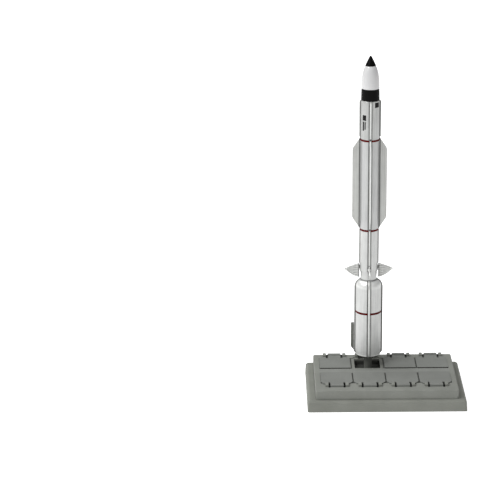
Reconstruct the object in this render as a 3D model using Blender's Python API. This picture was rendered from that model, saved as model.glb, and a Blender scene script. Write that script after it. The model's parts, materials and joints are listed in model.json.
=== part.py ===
"""Display model rocket: a two-stage finned rocket standing on a post in an open cell of a launcher-deck base.

Metres, +Z up, +X right, +Y to the back. The origin is the centre of the base where it meets the table.
Every length below is in millimetres and becomes metres through MM.
"""

import math

import bmesh
import bpy
from mathutils import Matrix, Vector

MM = 0.001
GAP = 0.3  # clearance between pieces that touch or are glued
ROUND = 40  # sides of a turned piece
SMALL_ROUND = 12  # sides of a pin or a small hole

# base plinth, the lower tier
PLINTH_HALF = (46.8, 32.4)
PLINTH_HEIGHT = 6.9
PLINTH_DRAFT = 0.3
PLINTH_CHAMFER = 1.2
PLINTH_CORNER = 1.6
PLINTH_WALL = 1.8
SEAT_DEPTH = 0.6  # recess in the plinth's top that takes the deck
SEAT_FLOOR = 2.0
BOSS_RADIUS = 4.2
BOSS_BOTTOM = 1.5
SOCKET_BOTTOM = 2.3
BOTTOM_PLATE = 1.2

# deck, the upper tier with its cells
DECK_HALF = (42.0, 29.7)
DECK_TOP = 12.5
DECK_CORNER = 1.4
DECK_EDGE = 0.5
TROUGH_DEPTH = 1.4
WELL_DEPTH = 2.8
HINGE_POCKET_DEPTH = 2.4
CELL_PITCH = 19.5
CELLS = 4
GRID_Y = 2.6  # middle of the strip between the two rows
STRIP_HALF = 3.35

# hatch lids and their hinges, measured outwards from the middle of the strip
LID_TOP = DECK_TOP + 0.45
LID_THICKNESS = 1.5
LID_HALF = 9.3
LID_INNER = 3.65
LID_OUTER = 21.8
LID_CORNER = (1.8, 3.4)
HINGE_REACH = 25.0
HINGE_HEIGHT = DECK_TOP + 0.25
HINGE_POCKET_HALF = 5.0
HINGE_POCKET_END = 26.3
TONGUE_HALF = 4.1
KNUCKLE_RADIUS = 0.95
PIN_RADIUS = 0.35
PIN_HALF = 6.4
LUG_SPAN = (5.0, 6.6)
LUG_FRONT = HINGE_REACH - 2.7
WELL_HALF = 7.65
WELL_SPAN = (4.7, 19.7)
TROUGH_END = 22.3
OPEN_CELL = 1  # column of the open cell in the back row
OPEN_ANGLE = 90.0

# rocket, on the axis of its post
AXIS_X, AXIS_Y = -9.3, 15.1
POST_RADIUS = 2.1
POST_TOP = 31.1
BORE = 3.6
SPIGOT = BORE - GAP
SPIGOT_BORE = 2.4

BOOSTER_BOTTOM = 19.1
LIP_RADIUS, LIP_TOP = 7.2, 21.2
BOOSTER_RADIUS, BOOSTER_RIB = 7.7, 8.52
BOOSTER_SHOULDER, BOOSTER_TOP = 61.7, 66.4
BOOSTER_BORE = 6.3
DOME_TOP_RADIUS = 4.7
JOINER_RADIUS = 2.3

TAIL_RADIUS, TAIL_TOP = 4.7, 72.1
LOWER_RADIUS, LOWER_RIB, LOWER_TOP = 5.31, 5.85, 97.65
WING_BODY_RADIUS, WING_BODY_TOP = 5.4, 152.55
UPPER_RADIUS, UPPER_RIB, UPPER_TOP = 5.52, 6.36, 176.3
BAND_RADIUS, BAND_TOP = 5.28, 183.2
NOSE_RADIUS, NOSE_TOP = 5.3, 196.7
TIP_TOP = 202.5
SPIGOT_LENGTH = 3.4

WING_THICKNESS = 0.84
WING_ROOT, WING_TIP = 4.95, 10.2
WING_SLOT_HALF, WING_SLOT_DEPTH = 0.75, 0.78
WING_LEVELS = (98.1, 105.0, 147.2, 153.9)  # root bottom, outer bottom, outer top, root top

FIN_PIVOT = 74.0
FIN_ROOT, FIN_REACH = 5.65, 14.4
FIN_LEVELS = (67.6, 72.9, 76.2)  # root bottom, tip, root top
FIN_THICKNESS = 0.8
FIN_PEG, FIN_PEG_END = 0.6, 3.75

SILVER = ("silver_body", (0.62, 0.63, 0.62), 0.34, 0.85)
WING_SILVER = ("wing_silver", (0.53, 0.53, 0.51), 0.42, 0.6)
WHITE = ("nose_white", (0.82, 0.82, 0.84), 0.25, 0.0)
BLACK = ("black_parts", (0.012, 0.012, 0.013), 0.35, 0.0)
DECK_GREY = ("base_grey", (0.21, 0.22, 0.19), 0.5, 0.0)
STEEL = ("pin_steel", (0.3, 0.3, 0.3), 0.4, 1.0)


def clear_scene():
    for old in list(bpy.data.objects):
        bpy.data.objects.remove(old)


def material(finish):
    name, colour, roughness, metallic = finish
    found = bpy.data.materials.get(name)
    if found:
        return found
    made = bpy.data.materials.new(name)
    made.use_nodes = True
    shader = made.node_tree.nodes["Principled BSDF"]
    shader.inputs["Base Color"].default_value = (*colour, 1.0)
    shader.inputs["Roughness"].default_value = roughness
    shader.inputs["Metallic"].default_value = metallic
    return made


def place(name, bm, finish, origin=(0, 0, 0), smooth=None, parent=None):
    """Turns a bmesh drawn in millimetres about origin into a named object standing at origin."""
    bmesh.ops.recalc_face_normals(bm, faces=bm.faces)
    if bm.calc_volume(signed=True) < 0:
        bmesh.ops.reverse_faces(bm, faces=bm.faces)
    mesh = bpy.data.meshes.new(name)
    bm.transform(Matrix.Scale(MM, 4))
    bm.to_mesh(mesh)
    bm.free()
    if smooth:
        mesh.shade_smooth()
        mesh.set_sharp_from_angle(angle=math.radians(smooth))
    made = bpy.data.objects.new(name, mesh)
    made.location = Vector(origin) * MM
    bpy.context.scene.collection.objects.link(made)
    if finish:
        mesh.materials.append(material(finish))
    if parent:
        made.parent = parent
    return made


def empty(name, origin, turn=0.0, parent=None):
    made = bpy.data.objects.new(name, None)
    made.location = Vector(origin) * MM
    made.rotation_euler.z = turn
    bpy.context.scene.collection.objects.link(made)
    if parent:
        made.parent = parent
    return made


def circle(radius, height, count=ROUND, centre=(0, 0)):
    """A level ring of points; its first point is on +X."""
    turns = [2 * math.pi * i / count for i in range(count)]
    return [(centre[0] + radius * math.cos(t), centre[1] + radius * math.sin(t), height) for t in turns]


def rounded_rectangle(half_x, half_y, corner, height, steps=4):
    """A level ring of points around a rectangle with round corners, 4 * (steps + 1) of them."""
    points = []
    for quarter, (side_x, side_y) in enumerate(((1, 1), (-1, 1), (-1, -1), (1, -1))):
        for i in range(steps + 1):
            turn = math.pi / 2 * (quarter + i / steps)
            points.append(
                (
                    side_x * (half_x - corner) + corner * math.cos(turn),
                    side_y * (half_y - corner) + corner * math.sin(turn),
                    height,
                )
            )
    return points


def aimed_circle(radius, height, centre, ring):
    """A level circle about centre with one point towards each point of ring, so the two can be bridged."""
    points = []
    for x, y, _ in ring:
        turn = math.atan2(y - centre[1], x - centre[0])
        points.append((centre[0] + radius * math.cos(turn), centre[1] + radius * math.sin(turn), height))
    return points


def ribbed_circle(radius, reach, half, height, arc=7, fillet=0.3):
    """A circle with a rib of the given reach and half width on each of the four axes."""
    points = []
    for quarter in range(4):
        turn = Matrix.Rotation(math.pi / 2 * quarter, 2)
        foot = half + fillet
        start = math.asin(foot / radius)
        foot_x = radius * math.cos(start)
        rib = [(foot_x, -foot), (reach, -half), (reach, half), (foot_x, foot)]
        for i in range(1, arc):
            around = start + (math.pi / 2 - 2 * start) * i / arc
            rib.append((radius * math.cos(around), radius * math.sin(around)))
        points += [(*(turn @ Vector(p)), height) for p in rib]
    return points


def matched_circle(radius, height, ring):
    """A level circle about the axis with each point at the same bearing as the ring's point."""
    return aimed_circle(radius, height, (0, 0), ring)


def loft(rings, closed=False):
    """Skins a row of rings with the same number of points; closed joins the last ring to the first."""
    bm = bmesh.new()
    rows = [[bm.verts.new(p) for p in ring] for ring in rings]
    count = len(rows[0])
    pairs = list(zip(rows, rows[1:]))
    if closed:
        pairs.append((rows[-1], rows[0]))
    for lower, upper in pairs:
        for i in range(count):
            j = (i + 1) % count
            bm.faces.new((lower[i], lower[j], upper[j], upper[i]))
    if not closed:
        bm.faces.new(rows[0][::-1])
        bm.faces.new(rows[-1])
    return bm


def turned(profile, count=ROUND, closed=False):
    """A turned solid from (radius, height) points; closed for a ring or a tube."""
    return loft([circle(r, z, count) for r, z in profile], closed)


def prism(outline, low, high, axes=(0, 1, 2)):
    """An outline of (a, b) points drawn in the first two of axes and extruded along the third."""
    bm = bmesh.new()
    rows = []
    for level in (low, high):
        row = []
        for a, b in outline:
            point = [0, 0, 0]
            point[axes[0]], point[axes[1]], point[axes[2]] = a, b, level
            row.append(bm.verts.new(point))
        rows.append(row)
    count = len(outline)
    for i in range(count):
        j = (i + 1) % count
        bm.faces.new((rows[0][i], rows[0][j], rows[1][j], rows[1][i]))
    bm.faces.new(rows[0][::-1])
    bm.faces.new(rows[1])
    return bm


def add_box(bm, low, high):
    """A box from its lowest to its highest corner."""
    size = Vector(high) - Vector(low)
    middle = (Vector(high) + Vector(low)) / 2
    bmesh.ops.create_cube(bm, size=1.0, matrix=Matrix.Translation(middle) @ Matrix.Diagonal((*size, 1)))


def boolean(target, tool, operation):
    tool.hide_render = True
    tool.display_type = "WIRE"
    step = target.modifiers.new(tool.name, "BOOLEAN")
    step.object = tool
    step.operation = operation
    step.solver = "EXACT"


def cell_centre(column):
    return (column - (CELLS - 1) / 2) * CELL_PITCH


def row_y(side, reach):
    """Height of a line on the deck that lies reach outwards from the strip's middle, in the row at side +1 or -1."""
    return GRID_Y + side * reach


def row_box(bm, centre, half, side, near, far, low, high):
    """A box in one row, given by its half width and its near and far reach from the strip."""
    ys = sorted((row_y(side, near), row_y(side, far)))
    add_box(bm, (centre - half, ys[0], low), (centre + half, ys[1], high))


def each_cell():
    for side in (1, -1):
        for column in range(CELLS):
            yield side, column, cell_centre(column)


def base_plinth():
    """Tray-shaped lower tier, with a boss under its floor that is bored as the post's socket."""
    half_x, half_y = PLINTH_HALF
    seat_x, seat_y = (h + GAP for h in DECK_HALF)
    hollow_x, hollow_y = (h - PLINTH_WALL for h in PLINTH_HALF)
    floor_top = PLINTH_HEIGHT - SEAT_DEPTH
    floor_low = floor_top - SEAT_FLOOR
    chamfer = PLINTH_DRAFT + PLINTH_CHAMFER
    edge = PLINTH_HEIGHT - PLINTH_CHAMFER
    rings = [
        rounded_rectangle(seat_x, seat_y, DECK_CORNER + GAP, floor_top),
        rounded_rectangle(seat_x, seat_y, DECK_CORNER + GAP, PLINTH_HEIGHT),
        rounded_rectangle(half_x - chamfer, half_y - chamfer, PLINTH_CORNER, PLINTH_HEIGHT),
        rounded_rectangle(half_x - PLINTH_DRAFT, half_y - PLINTH_DRAFT, PLINTH_CORNER, edge),
        rounded_rectangle(half_x, half_y, PLINTH_CORNER, 0),
        rounded_rectangle(hollow_x, hollow_y, PLINTH_CORNER, 0),
        rounded_rectangle(hollow_x, hollow_y, PLINTH_CORNER, floor_low),
    ]
    plinth = place("base_plinth", loft(rings), DECK_GREY)
    for name, radius, low, high, operation in (
        ("socket_boss", BOSS_RADIUS, BOSS_BOTTOM, floor_low + SEAT_FLOOR / 2, "UNION"),
        ("socket", POST_RADIUS + GAP, SOCKET_BOTTOM, PLINTH_HEIGHT, "DIFFERENCE"),
    ):
        tool = turned([(radius, low), (radius, high)])
        boolean(plinth, place(name, tool, None, origin=(AXIS_X, AXIS_Y, 0)), operation)


def base_bottom_plate():
    inset = PLINTH_WALL + GAP
    half_x, half_y = (h - inset for h in PLINTH_HALF)
    rings = [rounded_rectangle(half_x, half_y, PLINTH_CORNER, z) for z in (0, BOTTOM_PLATE)]
    place("base_bottom_plate", loft(rings), DECK_GREY)


def hinge_bore(bm, centre, side, radius, half):
    """A round bar along X on a lid's hinge line."""
    turn = Matrix.Rotation(math.pi / 2, 4, "Y")
    spot = Matrix.Translation((centre, row_y(side, HINGE_REACH), HINGE_HEIGHT))
    bmesh.ops.create_cone(
        bm,
        cap_ends=True,
        segments=SMALL_ROUND,
        radius1=radius,
        radius2=radius,
        depth=2 * half,
        matrix=spot @ turn,
    )


def add_lug(bm, left, right, side):
    """A hinge lug that stands on the deck, with its shoulder sloped towards the lid and its back rounded."""
    reach = HINGE_REACH
    top = HINGE_HEIGHT + KNUCKLE_RADIUS
    root = DECK_TOP - TROUGH_DEPTH / 2
    outline = [
        (LUG_FRONT, root),
        (LUG_FRONT, top - 0.5),
        (LUG_FRONT + 0.5, top),
        (reach + 0.4, top),
        (reach + 0.95, top - 0.5),
        (reach + 0.95, root),
    ]
    part = prism([(row_y(side, r), z) for r, z in outline], left, right, axes=(1, 2, 0))
    copy = bpy.data.meshes.new("lug")
    part.to_mesh(copy)
    part.free()
    bm.from_mesh(copy)
    bpy.data.meshes.remove(copy)


def base_deck():
    """Upper tier: a block with a shallow trough, a well under each lid, hinge pockets and hinge lugs."""
    half_x, half_y = DECK_HALF
    bottom = PLINTH_HEIGHT - SEAT_DEPTH + GAP
    rings = [
        rounded_rectangle(half_x, half_y, DECK_CORNER, bottom),
        rounded_rectangle(half_x, half_y, DECK_CORNER, DECK_TOP - DECK_EDGE),
        rounded_rectangle(half_x - DECK_EDGE * 0.3, half_y - DECK_EDGE * 0.3, DECK_CORNER, DECK_TOP - DECK_EDGE * 0.3),
        rounded_rectangle(half_x - DECK_EDGE, half_y - DECK_EDGE, DECK_CORNER, DECK_TOP),
    ]
    deck = place("base_deck", loft(rings), DECK_GREY)
    above = DECK_TOP + 1
    trough_half = CELLS * CELL_PITCH / 2 + 0.25

    cuts = {name: bmesh.new() for name in ("trough", "wells", "hinge_pockets", "hinge_bores")}
    floor = DECK_TOP - TROUGH_DEPTH
    add_box(
        cuts["trough"],
        (-trough_half, row_y(-1, TROUGH_END), floor),
        (trough_half, row_y(1, TROUGH_END), above),
    )
    lugs = bmesh.new()
    for side, _, centre in each_cell():
        low = DECK_TOP - WELL_DEPTH
        row_box(cuts["wells"], centre, WELL_HALF, side, *WELL_SPAN, low, above)
        row_box(
            cuts["hinge_pockets"],
            centre,
            HINGE_POCKET_HALF,
            side,
            TROUGH_END - 1,
            HINGE_POCKET_END,
            DECK_TOP - HINGE_POCKET_DEPTH,
            above + 1,
        )
        hinge_bore(cuts["hinge_bores"], centre, side, PIN_RADIUS + GAP, LUG_SPAN[1] + 0.01)
        for inner, outer in (LUG_SPAN, [-x for x in LUG_SPAN[::-1]]):
            add_lug(lugs, centre + inner, centre + outer, side)
    hole = POST_RADIUS + GAP
    cuts["post_hole"] = turned([(hole, 0), (hole, DECK_TOP)])
    cuts["post_hole"].transform(Matrix.Translation((AXIS_X, AXIS_Y, 0)))
    for name in ("trough", "wells"):
        boolean(deck, place("cut_" + name, cuts[name], None), "DIFFERENCE")
    boolean(deck, place("add_lugs", lugs, None), "UNION")
    for name in ("hinge_pockets", "hinge_bores", "post_hole"):
        boolean(deck, place("cut_" + name, cuts[name], None), "DIFFERENCE")


def uptake_cover():
    """Long cover strip between the two rows of lids."""
    half_x = CELLS * CELL_PITCH / 2 - 0.15
    bm = bmesh.new()
    low = DECK_TOP - TROUGH_DEPTH + GAP
    add_box(bm, (-half_x, -STRIP_HALF, low), (half_x, STRIP_HALF, LID_TOP))
    cover = place("uptake_cover", bm, DECK_GREY, origin=(0, GRID_Y, 0))
    edge = cover.modifiers.new("edge", "BEVEL")
    edge.width = 0.2 * MM
    edge.segments = 1


def lid_outline():
    """Half of a lid from above, as (across, reach) with reach measured back from the hinge line."""
    corner_x, corner_y = LID_CORNER
    near, far = LID_OUTER - HINGE_REACH, LID_INNER - HINGE_REACH
    side = [
        (TONGUE_HALF, 0.0),
        (TONGUE_HALF, near),
        (LID_HALF - corner_x, near),
        (LID_HALF, near - corner_y),
        (LID_HALF, far + 0.3),
        (LID_HALF - 0.3, far),
    ]
    return side + [(-x, y) for x, y in reversed(side)]


def hatch_lids():
    """Eight lids, each with a tongue that ends in a bored knuckle; the object's origin is on the hinge line."""
    low, high = LID_TOP - LID_THICKNESS - HINGE_HEIGHT, LID_TOP - HINGE_HEIGHT
    for side, column, centre in each_cell():
        row = "back" if side > 0 else "front"
        name = f"{row}_{column + 1}"
        hinge = (centre, row_y(side, HINGE_REACH), HINGE_HEIGHT)
        frame = empty("hinge_" + name, hinge, turn=0.0 if side > 0 else math.pi)
        lid = place("hatch_lid_" + name, prism(lid_outline(), low, high), DECK_GREY, parent=frame)
        turn = Matrix.Rotation(math.pi / 2, 4, "Y")
        for label, radius, half, operation in (
            ("knuckle", KNUCKLE_RADIUS, TONGUE_HALF, "UNION"),
            ("bore", PIN_RADIUS + GAP, TONGUE_HALF + 1, "DIFFERENCE"),
        ):
            bar = bmesh.new()
            bmesh.ops.create_cone(
                bar,
                cap_ends=True,
                segments=SMALL_ROUND,
                radius1=radius,
                radius2=radius,
                depth=2 * half,
                matrix=turn,
            )
            tool = place(f"{label}_{name}", bar, None, parent=lid)
            boolean(lid, tool, operation)
        if side > 0 and column == OPEN_CELL:
            lid.rotation_euler.x = -math.radians(OPEN_ANGLE)
        pin = bmesh.new()
        bmesh.ops.create_cone(
            pin,
            cap_ends=True,
            segments=SMALL_ROUND,
            radius1=PIN_RADIUS,
            radius2=PIN_RADIUS,
            depth=2 * PIN_HALF,
            matrix=turn,
        )
        place("hinge_pin_" + name, pin, STEEL, origin=hinge, smooth=40)


def support_post():
    """Post that rises from the plinth's socket through the open cell into the booster."""
    low = SOCKET_BOTTOM + GAP
    profile = [(POST_RADIUS - 0.3, low), (POST_RADIUS, low + 0.3), (POST_RADIUS, POST_TOP - 0.8), (1.4, POST_TOP)]
    place("support_post", turned(profile), DECK_GREY, origin=(AXIS_X, AXIS_Y, 0), smooth=30)


def booster_tail_ring():
    """Smooth ring round the booster's open end."""
    inner = BOOSTER_BORE
    profile = [
        (inner, BOOSTER_BOTTOM),
        (LIP_RADIUS - 0.4, BOOSTER_BOTTOM),
        (LIP_RADIUS, BOOSTER_BOTTOM + 0.5),
        (LIP_RADIUS + 0.1, LIP_TOP),
        (inner, LIP_TOP),
    ]
    return turned(profile, closed=True)


def booster_end_plug():
    """Plug in the booster's end, bored to drop over the support post."""
    bottom, top = BOOSTER_BOTTOM + 0.5, POST_TOP + GAP + 2
    bore = POST_RADIUS + GAP
    outer = BOOSTER_BORE - GAP
    profile = [(bore, POST_TOP + GAP), (bore, bottom), (outer, bottom), (outer, top)]
    return turned(profile)


def booster_shell():
    """Ribbed tube with a rounded shoulder; the ribs run over the shoulder to its top."""
    half = 0.72
    low = LIP_TOP + GAP
    levels = [
        (BOOSTER_RADIUS, BOOSTER_RADIUS + 0.02, low),
        (BOOSTER_RADIUS, BOOSTER_RADIUS + 0.02, low + 0.7),
        (BOOSTER_RADIUS, BOOSTER_RIB, low + 1.6),
    ]
    steps = 7
    for i in range(steps + 1):
        turn = math.pi / 2 * i / steps
        radius = DOME_TOP_RADIUS + (BOOSTER_RADIUS - DOME_TOP_RADIUS) * math.cos(turn)
        height = BOOSTER_SHOULDER + (BOOSTER_TOP - BOOSTER_SHOULDER) * math.sin(turn)
        proud = (BOOSTER_RIB - BOOSTER_RADIUS) * (1 - 0.75 * i / steps)
        levels.append((radius, radius + proud, height))
    rings = [ribbed_circle(r, rib, half, z) for r, rib, z in levels]
    shape = rings[0]
    hole, wall = JOINER_RADIUS + GAP, 1.6
    for radius, height in (
        (hole, BOOSTER_TOP),
        (hole, BOOSTER_SHOULDER - wall),
        (BOOSTER_BORE, BOOSTER_SHOULDER - wall),
        (BOOSTER_BORE, low),
    ):
        rings.append(matched_circle(radius, height, shape))
    return loft(rings, closed=True)


def stage_joiner():
    """Pin glued in the upper stage's tail; its free end drops into the booster's top."""
    low = BOOSTER_TOP - 5.5
    profile = [(JOINER_RADIUS - 0.4, low), (JOINER_RADIUS, low + 0.5), (JOINER_RADIUS, TAIL_TOP - 0.6)]
    return turned(profile)


def tail_section():
    """Narrow tail below the fins, with a spigot up into the lower body."""
    low = BOOSTER_TOP + GAP
    bore = JOINER_RADIUS + GAP
    top = TAIL_TOP + SPIGOT_LENGTH
    profile = [
        (bore, low),
        (TAIL_RADIUS - 0.15, low),
        (TAIL_RADIUS, low + 0.3),
        (TAIL_RADIUS, TAIL_TOP),
        (SPIGOT, TAIL_TOP),
        (SPIGOT, top),
        (bore, top),
    ]
    return turned(profile, closed=True)


def section_top(top):
    """Profile of a section's upper end, from its outer edge over the hollow spigot to its bore."""
    return [
        (SPIGOT, top),
        (SPIGOT, top + SPIGOT_LENGTH),
        (SPIGOT_BORE, top + SPIGOT_LENGTH),
        (SPIGOT_BORE, top - 2),
        (BORE, top - 2),
    ]


def lower_body():
    """Ribbed tube above the tail, drilled for the four fin pegs below the ends of its ribs."""
    half = 0.6
    low = TAIL_TOP + GAP
    rib_start = FIN_LEVELS[2] + GAP
    top = LOWER_TOP
    flush = LOWER_RADIUS + 0.02
    levels = [(flush, low), (flush, rib_start), (LOWER_RIB, rib_start + 0.5), (LOWER_RIB, top)]
    rings = [ribbed_circle(LOWER_RADIUS, rib, half, z) for rib, z in levels]
    shape = rings[0]
    for radius, height in (*section_top(top), (BORE, low)):
        rings.append(matched_circle(radius, height, shape))
    return loft(rings, closed=True)


def wing_body():
    """Plain tube between the two red rings."""
    low, top = LOWER_TOP + GAP, WING_BODY_TOP
    profile = [(BORE, low), (WING_BODY_RADIUS, low), (WING_BODY_RADIUS, top), *section_top(top)]
    return turned(profile, closed=True)


def upper_body():
    """Ribbed tube with a rounded shoulder, the widest section of the upper stage."""
    half = 0.72
    low, top = WING_BODY_TOP + GAP, UPPER_TOP
    wing_top = WING_LEVELS[3] + GAP
    flush = UPPER_RADIUS + 0.02
    levels = [
        (UPPER_RADIUS, flush, low),
        (UPPER_RADIUS, flush, wing_top),
        (UPPER_RADIUS, UPPER_RIB, wing_top + 0.4),
        (UPPER_RADIUS, UPPER_RIB, top - 1.1),
        (UPPER_RADIUS - 0.12, UPPER_RIB - 0.3, top - 0.4),
        (UPPER_RADIUS - 0.4, UPPER_RADIUS - 0.1, top),
    ]
    rings = [ribbed_circle(r, rib, half, z) for r, rib, z in levels]
    shape = rings[0]
    for radius, height in (*section_top(top), (BORE, low)):
        rings.append(matched_circle(radius, height, shape))
    return loft(rings, closed=True)


def nose_band():
    """Black ring between the body and the nose, with a spigot up into the nose."""
    low, top = UPPER_TOP + GAP, BAND_TOP
    profile = [(BORE, low), (BAND_RADIUS, low), (BAND_RADIUS, top), *section_top(top)]
    return turned(profile, closed=True)


def nose_cone():
    """White ogive, hollow from below, with a small hole for the tip's stem."""
    low, top = BAND_TOP + GAP, NOSE_TOP
    steps = 7
    profile = []
    for i in range(steps + 1):
        share = i / steps
        radius = NOSE_RADIUS * (1 - 0.455 * share**2.8)
        profile.append((radius, low + (top - low) * share))
    floor = low + SPIGOT_LENGTH + 1
    profile += [(1.5, top), (1.5, floor), (BORE, floor), (BORE, low)]
    return turned(profile, closed=True)


def nose_tip():
    """Black blunt tip with a stem down into the nose."""
    low = NOSE_TOP + GAP
    base = NOSE_RADIUS * 0.545
    profile = [(1.2, low - 4), (1.2, low)]
    steps = 5
    for i in range(steps + 1):
        share = i / steps
        profile.append((base * (1 - 0.76 * share**1.42), low + (TIP_TOP - 0.3 - low) * share))
    profile.append((0.35, TIP_TOP))
    return turned(profile)


def wing_outline():
    """A wing's side view as (radius, height)."""
    root_low, outer_low, outer_high, root_high = WING_LEVELS
    tab_low, tab_high = LOWER_TOP + 0.6, WING_BODY_TOP - 0.3
    clear = UPPER_RADIUS + GAP
    return [
        (WING_ROOT, tab_low),
        (clear, tab_low),
        (clear, root_low),
        (WING_TIP, outer_low),
        (WING_TIP, outer_high),
        (clear, root_high),
        (clear, tab_high),
        (WING_ROOT, tab_high),
    ]


def fin_outline():
    """A tail fin's side view as (radius, height): a leaf with both edges bowed towards its tip."""
    low, tip, high = FIN_LEVELS
    steps = 7
    edge = []
    for i in range(steps + 1):
        share = i / steps
        radius = FIN_ROOT + (FIN_REACH - FIN_ROOT) * share
        edge.append((radius, low + (tip - 0.25 - low) * share**1.7))
    upper = []
    for i in range(steps + 1):
        share = i / steps
        radius = FIN_REACH - (FIN_REACH - FIN_ROOT) * share
        upper.append((radius, tip + 0.25 + (high - tip - 0.25) * share**1.15))
    return edge + upper


def wings_and_fins(axis):
    """Four wings and four fins round the axis, one on each side; a fin's object has its origin on its peg."""
    for quarter, side in enumerate(("right", "back", "left", "front")):
        turn = math.pi / 2 * quarter
        frame = empty("side_" + side, (0, 0, 0), turn=turn, parent=axis)
        half = WING_THICKNESS / 2
        place("wing_" + side, prism(wing_outline(), -half, half, axes=(0, 2, 1)), WING_SILVER, parent=frame)

        half = FIN_THICKNESS / 2
        outline = [(r - FIN_ROOT, z - FIN_PIVOT) for r, z in fin_outline()]
        fin = place(
            "tail_fin_" + side,
            prism(outline, -half, half, axes=(0, 2, 1)),
            WING_SILVER,
            origin=(FIN_ROOT, 0, FIN_PIVOT),
            parent=frame,
        )
        peg = bmesh.new()
        length = FIN_ROOT - FIN_PEG_END + 1.2
        middle = FIN_PEG_END - FIN_ROOT + length / 2
        bmesh.ops.create_cone(
            peg,
            cap_ends=True,
            segments=SMALL_ROUND,
            radius1=FIN_PEG,
            radius2=FIN_PEG,
            depth=length,
            matrix=Matrix.Translation((middle, 0, 0)) @ Matrix.Rotation(math.pi / 2, 4, "Y"),
        )
        boolean(fin, place("peg_" + side, peg, None, parent=fin), "UNION")


def drill_fin_holes(body):
    """Four peg holes through the lower body's wall."""
    holes = bmesh.new()
    reach = LOWER_RADIUS + 1 - BORE + 0.5
    for quarter in range(4):
        turn = Matrix.Rotation(math.pi / 2 * quarter, 4, "Z")
        spot = Matrix.Translation((BORE - 0.5 + reach / 2, 0, FIN_PIVOT))
        bmesh.ops.create_cone(
            holes,
            cap_ends=True,
            segments=SMALL_ROUND,
            radius1=FIN_PEG + GAP,
            radius2=FIN_PEG + GAP,
            depth=reach,
            matrix=turn @ spot @ Matrix.Rotation(math.pi / 2, 4, "Y"),
        )
    boolean(body, place("cut_fin_holes", holes, None, parent=body.parent), "DIFFERENCE")


def cut_wing_slots(body):
    """Four long slots for the wings' roots, open at both ends of the wing body."""
    slots = bmesh.new()
    inner, outer = WING_BODY_RADIUS - WING_SLOT_DEPTH, WING_BODY_RADIUS + 1
    low, high = LOWER_TOP - 1, WING_BODY_TOP + 1
    for quarter in range(4):
        turn = Matrix.Rotation(math.pi / 2 * quarter, 4, "Z")
        middle = Matrix.Translation(((inner + outer) / 2, 0, (low + high) / 2))
        size = Matrix.Diagonal((outer - inner, 2 * WING_SLOT_HALF, high - low, 1))
        bmesh.ops.create_cube(slots, size=1.0, matrix=turn @ middle @ size)
    boolean(body, place("cut_wing_slots", slots, None, parent=body.parent), "DIFFERENCE")


def rocket():
    """Both stages, on an empty that stands on the post's axis."""
    axis = empty("rocket_axis", (AXIS_X, AXIS_Y, 0))
    sections = (
        ("booster_tail_ring", booster_tail_ring, SILVER),
        ("booster_end_plug", booster_end_plug, DECK_GREY),
        ("booster_shell", booster_shell, SILVER),
        ("stage_joiner", stage_joiner, DECK_GREY),
        ("tail_section", tail_section, SILVER),
        ("lower_body", lower_body, SILVER),
        ("wing_body", wing_body, SILVER),
        ("upper_body", upper_body, SILVER),
        ("nose_band", nose_band, BLACK),
        ("nose_cone", nose_cone, WHITE),
        ("nose_tip", nose_tip, BLACK),
    )
    made = {}
    for name, shape, finish in sections:
        made[name] = place(name, shape(), finish, smooth=35, parent=axis)
    drill_fin_holes(made["lower_body"])
    cut_wing_slots(made["wing_body"])
    wings_and_fins(axis)


clear_scene()
base_plinth()
base_bottom_plate()
base_deck()
uptake_cover()
hatch_lids()
support_post()
rocket()
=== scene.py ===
import json
import math

import bmesh
import bpy
from mathutils import Matrix, Vector


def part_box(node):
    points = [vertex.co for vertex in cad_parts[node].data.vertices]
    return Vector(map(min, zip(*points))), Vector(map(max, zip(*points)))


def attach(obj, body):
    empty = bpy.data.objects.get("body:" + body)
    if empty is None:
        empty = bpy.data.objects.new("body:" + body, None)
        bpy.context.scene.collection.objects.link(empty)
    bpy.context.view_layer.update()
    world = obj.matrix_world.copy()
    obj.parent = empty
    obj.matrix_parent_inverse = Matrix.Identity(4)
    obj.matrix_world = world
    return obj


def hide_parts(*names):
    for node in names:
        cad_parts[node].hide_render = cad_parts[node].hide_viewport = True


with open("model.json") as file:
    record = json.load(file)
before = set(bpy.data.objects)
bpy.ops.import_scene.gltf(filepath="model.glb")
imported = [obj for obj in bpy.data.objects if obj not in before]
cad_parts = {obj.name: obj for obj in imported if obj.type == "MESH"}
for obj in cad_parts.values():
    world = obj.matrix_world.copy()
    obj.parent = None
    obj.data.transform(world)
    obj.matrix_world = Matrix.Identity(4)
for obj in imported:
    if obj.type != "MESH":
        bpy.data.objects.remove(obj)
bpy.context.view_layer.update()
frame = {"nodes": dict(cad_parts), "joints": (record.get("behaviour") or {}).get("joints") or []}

mm = 0.001  # every shape below is drawn in millimetres and made metres when it is finished
joints = {joint["name"]: joint for joint in frame["joints"]}
scene = bpy.context.scene


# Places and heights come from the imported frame

def nodeBox(node):
    low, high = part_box(node)
    return low / mm, high / mm


postLow, postHigh = nodeBox("support_post")
rocketAxis = (postLow + postHigh) / 2
rocketAxis.z = 0.0
quarterTurn = math.pi / 2
hinges = {
    name.removesuffix("_hinge"): Vector(joint["pos_m"]) / mm
    for name, joint in joints.items()
    if name.startswith("lid_")
}
cellPitch = hinges["lid_back_2"].x - hinges["lid_back_1"].x
stripMiddle = (hinges["lid_back_1"].y + hinges["lid_front_1"].y) / 2
hingeReach = hinges["lid_back_1"].y - stripMiddle
hingeHeight = hinges["lid_back_1"].z
coverLow, coverHigh = nodeBox("uptake_cover")
deckTop = hingeHeight - 0.25
lidTop = coverHigh.z
# where painted shade darkens the gaps between the lids, seen from above; the far hinges stay clean
gridHalf = (2 * cellPitch + 0.1, hingeReach - 0.2)
gridMiddle = stripMiddle - 2.5
openLid = max(hinges, key=lambda body: nodeBox("hatch_" + body)[1].z)


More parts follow.
